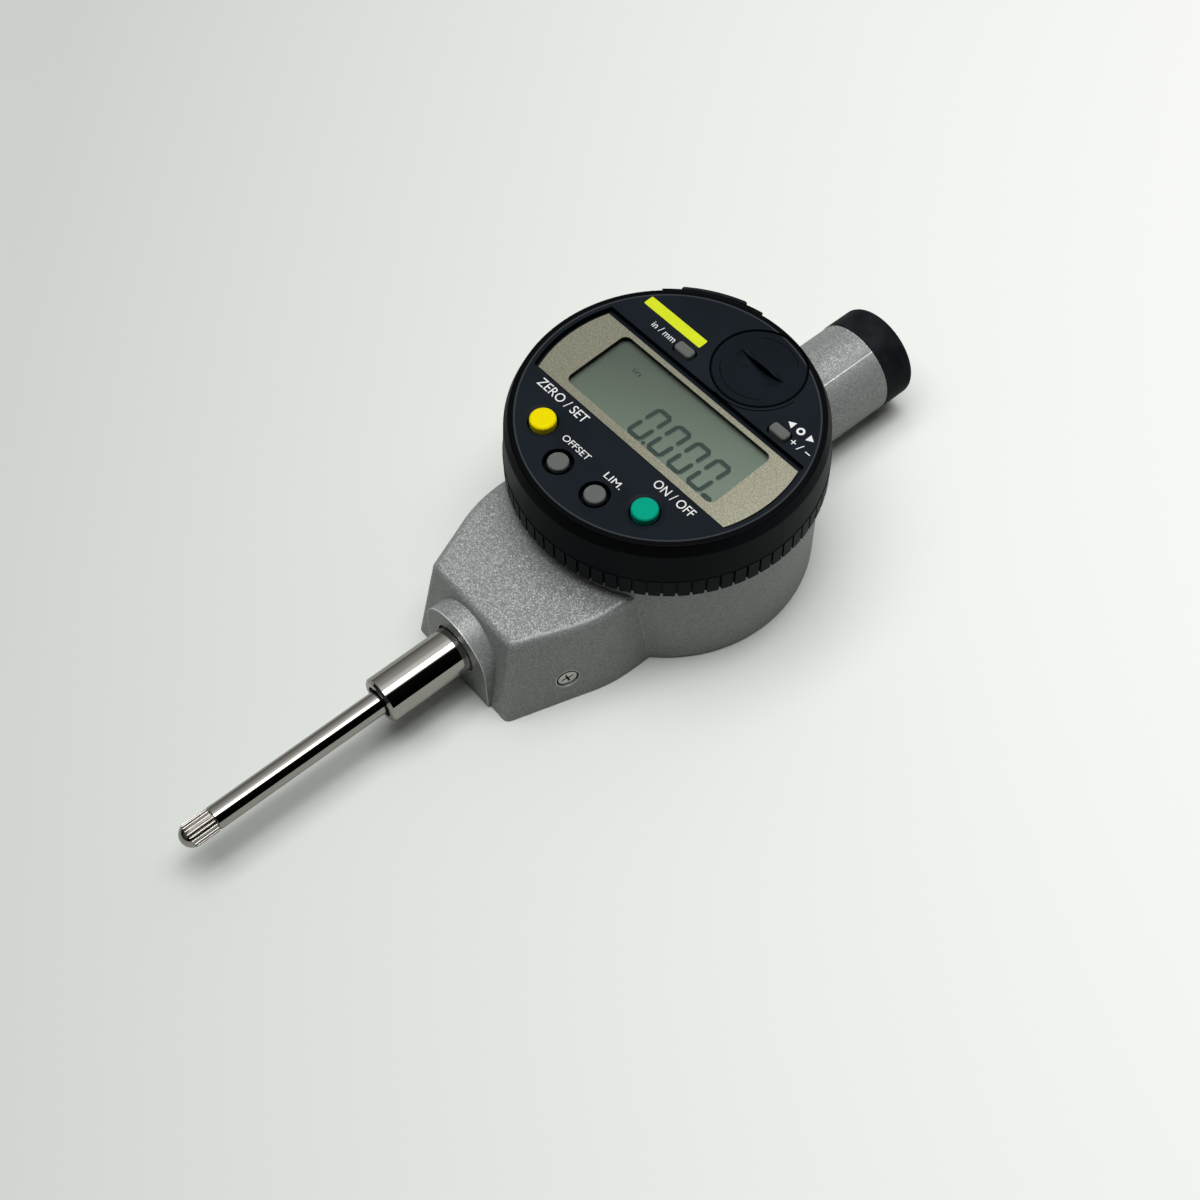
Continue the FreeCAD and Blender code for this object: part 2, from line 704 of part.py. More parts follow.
def contact_point():
    """A fluted barrel with a half round nose on a threaded stud."""
    ball_y = SPINDLE_TIP_Y - POINT_BARREL
    nose = Part.makeSphere(POINT_R, point(0, ball_y, SPINDLE_Z))
    nose = nose.common(rod(POINT_R, ball_y - POINT_R, ball_y))
    barrel = rod(POINT_R, ball_y, SPINDLE_TIP_Y)
    stud = rod(POINT_STUD_R, SPINDLE_TIP_Y, SPINDLE_TIP_Y + POINT_STUD_LENGTH)
    flutes = []
    for i in range(POINT_FLUTE_COUNT):
        x, z = polar(POINT_R, i * 360.0 / POINT_FLUTE_COUNT)
        flutes.append(rod(POINT_FLUTE_R, ball_y - POINT_R, SPINDLE_TIP_Y, x, SPINDLE_Z + z))
    return joined(nose, [barrel, stud]).cut(flutes)


def stop_ring():
    return sleeve(STOP_RING_R, SPINDLE_R + SEAT, STOP_RING_END_Y - STOP_RING_T, STOP_RING_END_Y)


def clamp_screw_seat():
    height = SPINDLE_Z + SPINDLE_R + CLAMP_SCREW[0] + SKIN
    return -CARRIER_HALF, CARRIER_START_Y + CARRIER_LENGTH / 3, height


def lug_outer_x():
    return SPRING_X - SPRING_R - SPRING_WIRE_R


def scale_carrier():
    """A split clamp on the spindle, its foot for the scale and a lug for the spring."""
    foot_z = SCALE_TOP_Z
    clamp = box(-CARRIER_HALF, CARRIER_HALF, CARRIER_START_Y, CARRIER_END_Y, foot_z, CARRIER_TOP_Z)
    foot = box(-FOOT_HALF, FOOT_HALF, CARRIER_START_Y, CARRIER_START_Y + SCALE_LENGTH,
               foot_z, foot_z + FOOT_T)
    lug = box(lug_outer_x(), -CARRIER_HALF, CARRIER_END_Y - LUG_T, CARRIER_END_Y,
              SPINDLE_Z - LUG_HALF_H, SPINDLE_Z + LUG_HALF_H)
    body = joined(clamp, [foot, lug])
    slit = box(-CLAMP_SLIT / 2, CLAMP_SLIT / 2, CARRIER_START_Y, CARRIER_END_Y,
               SPINDLE_Z, CARRIER_TOP_Z)
    pin_hole = Part.makeCylinder(GUIDE_PIN_R + SEAT, CARRIER_HALF - GUIDE_PIN_ROOT_X + SEAT,
                                 point(GUIDE_PIN_ROOT_X - SEAT, GUIDE_PIN_Y, SPINDLE_Z),
                                 point(1, 0, 0))
    cuts = [rod(SPINDLE_R + SEAT, CARRIER_START_Y, CARRIER_END_Y), slit, pin_hole,
            screw_hole(CLAMP_SCREW, clamp_screw_seat(), (1, 0, 0))]
    return body.cut(cuts)


def clamp_screw():
    return screw(CLAMP_SCREW, clamp_screw_seat(), (1, 0, 0))


def encoder_scale():
    return box(-FOOT_HALF, FOOT_HALF, CARRIER_START_Y, CARRIER_START_Y + SCALE_LENGTH,
               SCALE_TOP_Z - SCALE_T, SCALE_TOP_Z)


def guide_pin():
    length = RAIL_INNER_X + RAIL_SLOT_DEPTH - SKIN - GUIDE_PIN_ROOT_X
    return Part.makeCylinder(GUIDE_PIN_R, length, point(GUIDE_PIN_ROOT_X, GUIDE_PIN_Y, SPINDLE_Z),
                             point(1, 0, 0))


# Guide rail, spring and reader in the housing

def rail_screw_seats():
    return [(RAIL_EAR_X, y, SPINDLE_Z + RAIL_HALF_H - RAIL_EAR_T) for y in RAIL_EAR_YS]


def guide_rail():
    """A slotted bar that keeps the spindle from turning, with two screw ears."""
    low = SPINDLE_Z - RAIL_HALF_H
    high = SPINDLE_Z + RAIL_HALF_H
    bar = box(RAIL_INNER_X, RAIL_INNER_X + RAIL_W, RAIL_START_Y, RAIL_END_Y, low, high)
    ears = []
    for _, y, seat_z in rail_screw_seats():
        ears.append(disc(RAIL_EAR_R, seat_z, high, RAIL_EAR_X, y))
        ears.append(box(RAIL_INNER_X + RAIL_W / 2 + RAIL_SLOT_DEPTH / 2, RAIL_EAR_X,
                        y - RAIL_EAR_R, y + RAIL_EAR_R, seat_z, high))
    body = joined(bar, ears)
    slot_half = GUIDE_PIN_R + RUN
    slot = box(RAIL_INNER_X, RAIL_INNER_X + RAIL_SLOT_DEPTH, RAIL_START_Y, RAIL_END_Y,
               SPINDLE_Z - slot_half, SPINDLE_Z + slot_half)
    holes = [screw_hole(RAIL_SCREW, seat, (0, 0, 1)) for seat in rail_screw_seats()]
    return body.cut([slot] + holes)


def rail_screws():
    return [screw(RAIL_SCREW, seat, (0, 0, 1)) for seat in rail_screw_seats()]


def anchor_y():
    return CARRIER_START_Y + ANCHOR_R


def spring_anchor():
    return disc(ANCHOR_R, SPINDLE_Z - SPRING_R, POCKET_TOP_Z + ANCHOR_SINK, SPRING_X, anchor_y())


def return_spring():
    """A tension coil between the anchor pin and the carrier's lug."""
    start = anchor_y() + ANCHOR_R + SPRING_WIRE_R + SEAT
    end = CARRIER_END_Y - LUG_T - SPRING_WIRE_R - SEAT
    length = end - start
    helix = Part.makeHelix(length / SPRING_TURNS, length, SPRING_R)
    section = Part.Wire(Part.Circle(point(SPRING_R, 0, 0), point(0, 1, 0), SPRING_WIRE_R).toShape())
    coil = Part.Wire(helix.Edges).makePipeShell([section], True, True)
    coil.rotate(point(0, 0, 0), point(1, 0, 0), -90)
    coil.translate(point(SPRING_X, start, SPINDLE_Z))
    return coil


def reader_screw_seats():
    return [(x, y, BOARD_TOP_Z - BOARD_T) for x, y in reader_places()]


def reader_board():
    plate = rounded_block(-BOARD_HALF, BOARD_HALF, BOARD_START_Y, BOARD_END_Y,
                          BOARD_TOP_Z - BOARD_T, BOARD_TOP_Z, BOARD_CORNER_R)
    return plate.cut([screw_hole(READER_SCREW, seat, (0, 0, 1)) for seat in reader_screw_seats()])


def reader_head():
    start = BOARD_START_Y + READER_SETBACK
    return box(-READER_HALF, READER_HALF, start, start + READER_LENGTH, BOARD_TOP_Z, READER_TOP_Z)


def reader_screws():
    return [screw(READER_SCREW, seat, (0, 0, 1)) for seat in reader_screw_seats()]


def flex_strip():
    """The flat strip that climbs from the reader board and coils inside the neck."""
    half = STRIP_W / 2
    coil_z = DECK_Z + SKIN
    climb = box(STRIP_X, STRIP_X + STRIP_T, -half, half, BOARD_TOP_Z, STRIP_RUN_Z + STRIP_T)
    run = box(STRIP_X, STRIP_RISE_X + STRIP_T, -half, half, STRIP_RUN_Z, STRIP_RUN_Z + STRIP_T)
    rise = box(STRIP_RISE_X, STRIP_RISE_X + STRIP_T, -half, half, STRIP_RUN_Z, coil_z + STRIP_T)
    bridge = box(-STRIP_COIL_IN_R - STRIP_T, STRIP_RISE_X + STRIP_T, -half, half,
                 coil_z, coil_z + STRIP_T)
    coil = annulus(STRIP_COIL_OUT_R, STRIP_COIL_IN_R, coil_z, coil_z + STRIP_COIL_T)
    tail = box(STRIP_COIL_IN_R + STRIP_T, STRIP_COIL_IN_R + 2 * STRIP_T, -half, half,
               coil_z, MAIN_BOARD_Z - SKIN / 2)
    return joined(climb, [run, rise, bridge, coil, tail])


# Bearing of the display head

def plate_screw_seats():
    return ring_seats(PLATE_SCREW_RING_R, QUARTER_ANGLES, NECK_TOP_Z + PLATE_T)


def retaining_plate():
    """The ring that holds the head down, with the tab that stops its turn."""
    high = NECK_TOP_Z + PLATE_T
    pin_half = math.degrees(math.asin(STOP_PIN_R / STOP_PIN_RING_R))
    tab_half = HALF_TURN_ANGLE - TURN_LIMIT - pin_half
    ring = annulus(PLATE_R, NECK_IN_R, NECK_TOP_Z, high)
    tab = sector(TAB_R, NECK_IN_R, NECK_TOP_Z, high, 90.0, 2 * tab_half)
    body = joined(ring, [tab])
    return body.cut([screw_hole(PLATE_SCREW, seat, (0, 0, -1)) for seat in plate_screw_seats()])


def plate_screws():
    return [screw(PLATE_SCREW, seat, (0, 0, -1)) for seat in plate_screw_seats()]


def friction_washer():
    return annulus(PLATE_R, NECK_R + SKIN, NECK_TOP_Z - WASHER_T, NECK_TOP_Z)


def neck_seal():
    ring = Part.makeTorus(NECK_R - NECK_SEAL_R - SEAT, NECK_SEAL_R)
    ring.translate(point(0, 0, NECK_SEAL_Z))
    return ring


# Display head shell

def in_head(shape):
    """Turn a piece with the head from its upright place to how it was left."""
    turned_shape = shape.copy()
    turned_shape.rotate(point(0, 0, 0), point(0, 0, 1), HEAD_TURN)
    return turned_shape


def bezel_screw_seats():
    return ring_seats(BEZEL_SCREW_RING_R, BEZEL_SCREW_ANGLES, HEAD_Z + BEZEL_SCREW[3] + SEAT)


def grip_ring():
    """The serrated ring with the floor that turns on the housing's neck."""
    floor = annulus(GRIP_R, NECK_R + RUN, HEAD_Z, GRIP_FLOOR_Z)
    wall = annulus(GRIP_R, BEZEL_IN_R, GRIP_FLOOR_Z, GRIP_TOP_Z)
    body = joined(floor, [wall])
    grooves = []
    for i in range(GRIP_GROOVE_COUNT):
        groove = box(GRIP_R - GRIP_GROOVE_DEPTH, GRIP_R + SKIN, -GRIP_GROOVE_W / 2,
                     GRIP_GROOVE_W / 2, HEAD_Z, GRIP_TOP_Z)
        groove.rotate(point(0, 0, 0), point(0, 0, 1), i * 360.0 / GRIP_GROOVE_COUNT)
        grooves.append(groove)
    _, _, head_r, head_h = BEZEL_SCREW
    cuts = [disc(head_r + SEAT, HEAD_Z, seat[2], seat[0], seat[1]) for seat in bezel_screw_seats()]
    cuts += [screw_hole(BEZEL_SCREW, seat, (0, 0, 1)) for seat in bezel_screw_seats()]
    pin_x, pin_y = polar(STOP_PIN_RING_R, -90.0)
    cuts.append(disc(STOP_PIN_R + SEAT, HEAD_Z, GRIP_FLOOR_Z, pin_x, pin_y))
    return body.cut(grooves + cuts)


def stop_pin():
    x, y = polar(STOP_PIN_RING_R, -90.0)
    return disc(STOP_PIN_R, HEAD_Z + SKIN, HEAD_Z + SKIN + STOP_PIN_H, x, y)


def lens_shape(radius, low_y, high_y, low, high):
    """A disc cut off straight above and below: the outline of window and recess."""
    return disc(radius, low, high).common(box(-radius, radius, low_y, high_y, low, high))


def window_box(margin, low, high):
    """The window's rectangle, widened all round by a margin."""
    return rounded_block(WINDOW_LEFT_X - margin, WINDOW_RIGHT_X + margin, WINDOW_LOW_Y - margin,
                         WINDOW_HIGH_Y + margin, low, high, WINDOW_CORNER_R)


def button_places():
    """Each button: name, place and kind."""
    return [("zero", BUTTON_SHIFT_X - LARGE_BUTTON_X, LARGE_BUTTON_Y, "large"),
            ("power", BUTTON_SHIFT_X + LARGE_BUTTON_X, LARGE_BUTTON_Y, "large"),
            ("preset", BUTTON_SHIFT_X - SMALL_BUTTON_X, SMALL_BUTTON_Y, "small"),
            ("limit", BUTTON_SHIFT_X + SMALL_BUTTON_X, SMALL_BUTTON_Y, "small"),
            ("unit", UNIT_BUTTON_X, UNIT_BUTTON_Y, "oblong"),
            ("sign", SIGN_BUTTON_X, SIGN_BUTTON_Y, "oblong")]


def button_form(kind, x, y, grow, low, high):
    """A button's plan shape as a prism, grown all round."""
    if kind == "oblong":
        return rounded_block(x - OBLONG_HALF_L - grow, x + OBLONG_HALF_L + grow,
                             y - OBLONG_HALF_W - grow, y + OBLONG_HALF_W + grow,
                             low, high, OBLONG_CORNER_R + grow)
    radius = LARGE_BUTTON_R if kind == "large" else SMALL_BUTTON_R
    return disc(radius + grow, low, high, x, y)


def hole_grow(kind):
    if kind == "oblong":
        return OBLONG_GAP
    if kind == "large":
        return LARGE_HOLE_R - LARGE_BUTTON_R
    return SMALL_HOLE_R - SMALL_BUTTON_R


def bezel_profile():
    """The shell's outline from ring to axis, its shoulder and face edge eased by chords."""
    base = point(BEZEL_R + BEZEL_FLARE, 0, GRIP_TOP_Z)
    shoulder = point(BEZEL_R - BEZEL_SHOULDER_INSET, 0, FACE_Z - BEZEL_SHOULDER_H)
    edge = point(BEZEL_R - BEZEL_FACE_INSET, 0, FACE_Z)
    middle = point(0, 0, FACE_Z)
    eased = corner_arc(base, shoulder, edge, BEZEL_SHOULDER_R).discretize(BEZEL_CHORDS)
    eased += corner_arc(shoulder, edge, middle, BEZEL_EDGE_R).discretize(BEZEL_CHORDS)
    return [(corner.x, corner.z) for corner in [base] + eased + [middle]]


def front_bezel():
    """The display's front shell: a cup with its window, wells, button holes and port."""
    shell = turned([(BEZEL_IN_R, GRIP_TOP_Z)] + bezel_profile() +
                   [(0, BEZEL_UNDER_Z), (BEZEL_IN_R, BEZEL_UNDER_Z)], "Z")
    pad = sector(PAD_R, BEZEL_R - BEZEL_WALL / 2, GRIP_TOP_Z + PAD_LIFT, PAD_TOP_Z,
                 SOCKET_ANGLE, PAD_ARC_ANGLE)
    shell = joined(shell, [pad])
    posts = [disc(MAIN_POST_R, MAIN_TOP_Z, BEZEL_UNDER_Z, x, y) for x, y in main_posts()]
    in_ring = disc(BEZEL_IN_R - SEAT, GRIP_FLOOR_Z, GRIP_TOP_Z)
    for x, y, _ in bezel_screw_seats():
        posts.append(disc(BEZEL_POST_R, GRIP_TOP_Z, BEZEL_UNDER_Z, x, y))
        posts.append(disc(BEZEL_POST_R, GRIP_FLOOR_Z, GRIP_TOP_Z, x, y).common(in_ring))
    well = disc(WELL_R + WELL_WALL, FACE_Z - WELL_DEPTH, BEZEL_UNDER_Z, BATTERY_X, BATTERY_Y)
    well = well.common(disc(BEZEL_IN_R, GRIP_TOP_Z, BEZEL_UNDER_Z))
    shell = joined(shell, posts + [well])
    cuts = [lens_shape(RECESS_R, RECESS_LOW_Y, RECESS_HIGH_Y, RECESS_Z, FACE_Z),
            window_box(LENS_MARGIN + SEAT, RECESS_Z - LENS_T, RECESS_Z),
            window_box(VIEW_MARGIN, BEZEL_UNDER_Z, RECESS_Z),
            disc(WELL_R, FACE_Z - WELL_DEPTH, FACE_Z, BATTERY_X, BATTERY_Y),
            disc(COIN_CAP_R + COIN_CAP_GAP, COIN_LEDGE_Z, FACE_Z, BATTERY_X, BATTERY_Y)]
    cuts += [button_form(kind, x, y, hole_grow(kind), BEZEL_UNDER_Z, FACE_Z)
             for _, x, y, kind in button_places()]
    cuts += [Part.makeCone(LARGE_HOLE_R, LARGE_DISH_R, LARGE_DISH_DEPTH,
                           point(x, y, FACE_Z - LARGE_DISH_DEPTH))
             for _, x, y, kind in button_places() if kind == "large"]
    port = box(PLUG_IN_R - SKIN, FLAP_R, -PORT_HALF, PORT_HALF, PORT_LOW_Z, PORT_HIGH_Z)
    port.rotate(point(0, 0, 0), point(0, 0, 1), SOCKET_ANGLE)
    cuts.append(port)
    cuts += [screw_hole(BEZEL_SCREW, seat, (0, 0, 1)) for seat in bezel_screw_seats()]
    cuts += [screw_hole(MAIN_SCREW, seat, (0, 0, 1)) for seat in main_screw_seats()]
    return shell.cut(cuts)


def bezel_screws():
    return [screw(BEZEL_SCREW, seat, (0, 0, 1)) for seat in bezel_screw_seats()]


def window_trim():
    plate = lens_shape(TRIM_R, TRIM_LOW_Y, TRIM_HIGH_Y, RECESS_Z, RECESS_Z + TRIM_T)
    return plate.cut(window_box(0, RECESS_Z, RECESS_Z + TRIM_T))


def window_lens():
    return window_box(LENS_MARGIN, RECESS_Z - LENS_T, RECESS_Z)


def lcd_panel():
    return window_box(LCD_MARGIN, BEZEL_UNDER_Z - LCD_T, BEZEL_UNDER_Z)


def zebra_slots(grow):
    """The two conductive strips beside the display, as boxes."""
    low_y = WINDOW_LOW_Y - LCD_MARGIN / 2
    high_y = WINDOW_HIGH_Y + LCD_MARGIN / 2
    half = ZEBRA_W / 2 + grow
    top = BEZEL_UNDER_Z - LCD_T
    return [box(-ZEBRA_HALF_LENGTH - grow, ZEBRA_HALF_LENGTH + grow, y - half, y + half,
                MAIN_TOP_Z, top) for y in (low_y, high_y)]


def lcd_holder():
    """The frame that stands on the board and carries the display's glass."""
    top = BEZEL_UNDER_Z - LCD_T
    frame = window_box(LCD_MARGIN + HOLDER_MARGIN, MAIN_TOP_Z, top)
    hollow = window_box(-HOLDER_WALL, MAIN_TOP_Z, top)
    return frame.cut([hollow] + zebra_slots(SEAT))


# Main board and what stands on it

def main_posts():
    return [polar(MAIN_BOARD_R - MAIN_POST_INSET, angle) for angle in MAIN_POST_ANGLES]


def main_screw_seats():
    return [(x, y, MAIN_BOARD_Z) for x, y in main_posts()]


def main_board():
    plate = disc(MAIN_BOARD_R, MAIN_BOARD_Z, MAIN_TOP_Z)
    return plate.cut([screw_hole(MAIN_SCREW, seat, (0, 0, 1)) for seat in main_screw_seats()])


def main_screws():
    return [screw(MAIN_SCREW, seat, (0, 0, 1)) for seat in main_screw_seats()]


def display_chip():
    return box(CHIP_X - CHIP_HALF, CHIP_X + CHIP_HALF, CHIP_Y - CHIP_HALF, CHIP_Y + CHIP_HALF,
               MAIN_TOP_Z, MAIN_TOP_Z + CHIP_T)


def key_switches():
    """One small switch under every button."""
    switches = []
    for _, x, y, _ in button_places():
        base = box(x - SWITCH_HALF, x + SWITCH_HALF, y - SWITCH_HALF, y + SWITCH_HALF,
                   MAIN_TOP_Z, MAIN_TOP_Z + SWITCH_H)
        plunger = disc(PLUNGER_R, MAIN_TOP_Z + SWITCH_H, SWITCH_TOP_Z, x, y)
        switches.append(joined(base, [plunger]))
    return switches


def output_socket():
    """A flat open socket that looks out of the rim's port."""
    low = MAIN_TOP_Z
    high = MAIN_TOP_Z + SOCKET_H
    body = box(SOCKET_IN_R, SOCKET_OUT_R, -SOCKET_HALF, SOCKET_HALF, low, high)
    mouth = box(SOCKET_IN_R + 2 * SOCKET_WALL, SOCKET_OUT_R, -SOCKET_HALF + SOCKET_WALL,
                SOCKET_HALF - SOCKET_WALL, low + SOCKET_WALL, high - SOCKET_WALL)
    body = body.cut(mouth)
    body.rotate(point(0, 0, 0), point(0, 0, 1), SOCKET_ANGLE)
    return body


def port_flap():
    """The rubber cover of the port: a curved flap with a plug behind it."""
    flap = sector(FLAP_R, PAD_R + SEAT, FLAP_LOW_Z, FLAP_HIGH_Z, SOCKET_ANGLE, FLAP_ARC_ANGLE)
    upright = [e for e in flap.Edges if e.BoundBox.ZLength > FLAP_T
               and math.hypot(e.Vertexes[0].X, e.Vertexes[0].Y) > PAD_R + FLAP_T / 2]
    flap = flap.makeFillet(FLAP_CORNER_R, upright)
    plug = box(PLUG_IN_R, PAD_R + SKIN, -PORT_HALF + SKIN, PORT_HALF - SKIN,
               PORT_LOW_Z + SKIN, PORT_HIGH_Z - SKIN)
    plug.rotate(point(0, 0, 0), point(0, 0, 1), SOCKET_ANGLE)
    return joined(flap, [plug])


# Battery

def battery():
    low = MAIN_TOP_Z + CONTACT_T
    body = disc(BATTERY_R, low, low + BATTERY_H, BATTERY_X, BATTERY_Y)
    rim = edges_at(body, low + BATTERY_H) + edges_at(body, low)
    return body.makeFillet(BATTERY_EDGE_R, rim)


def minus_contact():
    return box(BATTERY_X - CONTACT_REACH, BATTERY_X + CONTACT_REACH, BATTERY_Y - CONTACT_W / 2,
               BATTERY_Y + CONTACT_W / 2, MAIN_TOP_Z, MAIN_TOP_Z + CONTACT_T)


def plus_contact():
    """An upright clip that touches the battery's side."""
    near = BATTERY_X - BATTERY_R - SEAT - CONTACT_T
    clip = box(near, near + CONTACT_T, BATTERY_Y - CONTACT_W / 2, BATTERY_Y + CONTACT_W / 2,
               MAIN_TOP_Z, MAIN_TOP_Z + BATTERY_H)
    foot = box(near - CONTACT_T, near + CONTACT_T, BATTERY_Y - CONTACT_W / 2,
               BATTERY_Y + CONTACT_W / 2, MAIN_TOP_Z, MAIN_TOP_Z + CONTACT_T)
    return joined(clip, [foot])


def dish_radius(half, depth):
    """The radius of the circle that cuts a dish of this half width and depth."""
    return (half ** 2 + depth ** 2) / (2 * depth)


def battery_cap():
    """A coin cap: flange, skirt, contact pad and a slot with a scoop beside each end."""
    flange_z = FACE_Z - COIN_CAP_T
    top_z = MAIN_TOP_Z + CONTACT_T + BATTERY_H
    flange = disc(COIN_CAP_R, flange_z, FACE_Z, BATTERY_X, BATTERY_Y)
    flange = flange.makeChamfer(COIN_CAP_CHAMFER, edges_at(flange, FACE_Z))
    skirt = annulus(COIN_SKIRT_R, COIN_SKIRT_R - COIN_SKIRT_WALL, flange_z - COIN_SKIRT_H,
                    flange_z, BATTERY_X, BATTERY_Y)
    pad = disc(COIN_PAD_R, top_z + SKIN / 2, flange_z, BATTERY_X, BATTERY_Y)
    body = joined(flange, [skirt, pad])
    coin_r = dish_radius(COIN_SLOT_HALF, COIN_SLOT_DEPTH)
    coin = Part.makeCylinder(coin_r, COIN_SLOT_W,
                             point(BATTERY_X, BATTERY_Y - COIN_SLOT_W / 2,
                                   FACE_Z - COIN_SLOT_DEPTH + coin_r),
                             point(0, 1, 0))
    scoop_r = dish_radius(COIN_SCOOP_R, COIN_SCOOP_DEPTH)
    scoops = [Part.makeSphere(scoop_r, point(BATTERY_X + side * COIN_SCOOP_X,
                                             BATTERY_Y - COIN_SCOOP_SHIFT,
                                             FACE_Z - COIN_SCOOP_DEPTH + scoop_r))
              for side in (-1, 1)]
    return body.cut([coin] + scoops)


def battery_seal():
    return annulus(COIN_SEAL_OUT_R, COIN_SEAL_IN_R, COIN_LEDGE_Z, COIN_LEDGE_Z + COIN_SEAL_T,
                   BATTERY_X, BATTERY_Y)


# Buttons

def button(x, y, kind):
    """A cap with a hidden flange and a stem that reaches for its switch."""
    proud, rounding = {"large": (LARGE_BUTTON_PROUD, LARGE_BUTTON_EDGE_R),
                       "small": (SMALL_BUTTON_PROUD, SMALL_BUTTON_EDGE_R),
                       "oblong": (OBLONG_PROUD, OBLONG_EDGE_R)}[kind]
    top = FACE_Z + proud
    flange_low = BUTTON_FLANGE_Z - BUTTON_FLANGE_T
    cap = button_form(kind, x, y, 0, flange_low, top)
    cap = cap.makeFillet(rounding, edges_at(cap, top))
    grow = hole_grow(kind) + BUTTON_FLANGE_W
    flange = button_form(kind, x, y, grow, flange_low, BUTTON_FLANGE_Z)
    stem_r = min(BUTTON_STEM_R, OBLONG_HALF_W)
    leg = disc(stem_r, SWITCH_TOP_Z + BUTTON_REST_GAP, flange_low, x, y)
    return joined(cap, [flange, leg])


# Cap of the tube

def tube_cap():
    """A rounded cup that plugs into the end of the tube."""
    end = TUBE_END_Y + CAP_LENGTH
    skirt_r = TUBE_IN_R - RUN
    cup = rod(CAP_R, TUBE_END_Y + SEAT, end)
    rim = [e for e in cup.Edges if abs(e.BoundBox.YMin - end) < 1e-6]
    cup = cup.makeFillet(CAP_EDGE_R, rim)
    skirt = rod(skirt_r, TUBE_END_Y - CAP_SKIRT_LENGTH, TUBE_END_Y + SKIN)
    body = joined(cup, [skirt])
    return body.cut(rod(skirt_r - CAP_SKIRT_WALL, TUBE_END_Y - CAP_SKIRT_LENGTH,
                        end - CAP_END_WALL))


def housing_pieces():
    return {
        "main_housing": main_housing(),
        "rear_cover": rear_cover(),
        "rear_gasket": rear_gasket(),
        "rear_cover_screws": cover_screws(),
        "side_screw": side_screw(),
        "stem": stem(),
        "lower_bush": lower_bush(),
        "spindle_wiper": spindle_wiper(),
        "lower_bumper": lower_bumper(),
        "upper_bush": upper_bush(),
        "upper_bumper": upper_bumper(),
        "guide_rail": guide_rail(),
        "guide_rail_screws": rail_screws(),
        "spring_anchor": spring_anchor(),
        "return_spring": return_spring(),
        "reader_board": reader_board(),
        "reader_head": reader_head(),
        "reader_board_screws": reader_screws(),
        "flex_strip": flex_strip(),
        "retaining_plate": retaining_plate(),
        "retaining_plate_screws": plate_screws(),
        "friction_washer": friction_washer(),
        "neck_seal": neck_seal(),
        "tube_cap": tube_cap(),
    }


def spindle_pieces():
    return {
        "spindle": spindle(),
        "contact_point": contact_point(),
        "scale_carrier": scale_carrier(),
        "carrier_clamp_screw": clamp_screw(),
        "encoder_scale": encoder_scale(),
        "guide_pin": guide_pin(),
        "spindle_stop_ring": stop_ring(),
    }


def head_pieces():
    pieces = {
        "grip_ring": grip_ring(),
        "turn_stop_pin": stop_pin(),
        "front_bezel": front_bezel(),
        "bezel_screws": bezel_screws(),
        "window_trim": window_trim(),
        "window_lens": window_lens(),
        "lcd_panel": lcd_panel(),
        "lcd_holder": lcd_holder(),
        "zebra_strips": zebra_slots(0),
        "main_board": main_board(),
        "main_board_screws": main_screws(),
        "display_chip": display_chip(),
        "key_switches": key_switches(),
        "output_socket": output_socket(),
        "output_cover": port_flap(),
        "battery": battery(),
        "battery_minus_contact": minus_contact(),
        "battery_plus_contact": plus_contact(),
        "battery_cap": battery_cap(),
        "battery_cap_seal": battery_seal(),
    }
    for name, x, y, kind in button_places():
        pieces[name + "_button"] = button(x, y, kind)
    return pieces


def save(name, shape):
    if isinstance(shape, list):
        shape = Part.makeCompound(shape)
    shape.exportStep(os.path.join("parts", name + ".step"))


def main():
    os.makedirs("parts", exist_ok=True)
    for name, shape in {**housing_pieces(), **spindle_pieces()}.items():
        save(name, shape)
    for name, shape in head_pieces().items():
        if isinstance(shape, list):
            save(name, [in_head(piece) for piece in shape])
        else:
            save(name, in_head(shape))


main()
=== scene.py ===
import math

import bmesh
import bpy
from mathutils import Matrix, Vector


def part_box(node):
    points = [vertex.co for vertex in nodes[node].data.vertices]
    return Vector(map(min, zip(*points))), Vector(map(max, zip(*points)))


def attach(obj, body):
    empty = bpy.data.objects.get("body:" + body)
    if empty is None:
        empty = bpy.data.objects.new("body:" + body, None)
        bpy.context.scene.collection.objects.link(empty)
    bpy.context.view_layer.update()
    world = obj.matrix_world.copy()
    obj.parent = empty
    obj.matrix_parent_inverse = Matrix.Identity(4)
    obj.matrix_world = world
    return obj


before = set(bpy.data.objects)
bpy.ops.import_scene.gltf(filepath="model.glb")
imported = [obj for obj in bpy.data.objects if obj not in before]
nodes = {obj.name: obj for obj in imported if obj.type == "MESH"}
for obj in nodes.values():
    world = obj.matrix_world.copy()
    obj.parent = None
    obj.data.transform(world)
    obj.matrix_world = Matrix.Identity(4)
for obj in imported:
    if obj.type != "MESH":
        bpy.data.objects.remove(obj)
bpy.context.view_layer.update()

# Camera
# A long lens that looks down on the indicator from its right, in front of the spindle.
# Its place was found from the ellipses of the round body and the ends of the stem.
MM = 0.001
CAMERA_TURN = math.radians(51.4490)
CAMERA_HEIGHT = math.radians(58.2233)
CAMERA_ROLL = -0.0269454
CAMERA_REACH = 372.785 * MM
CAMERA_TARGET = Vector((10.0196, -25.2903, 12.0)) * MM
CAMERA_FOCAL_PIXELS = 1939.03
CAMERA_FRAME_PIXELS = 1200
CAMERA_SENSOR = 36.0
CAMERA_NEAR = 0.01
CAMERA_FAR = 20


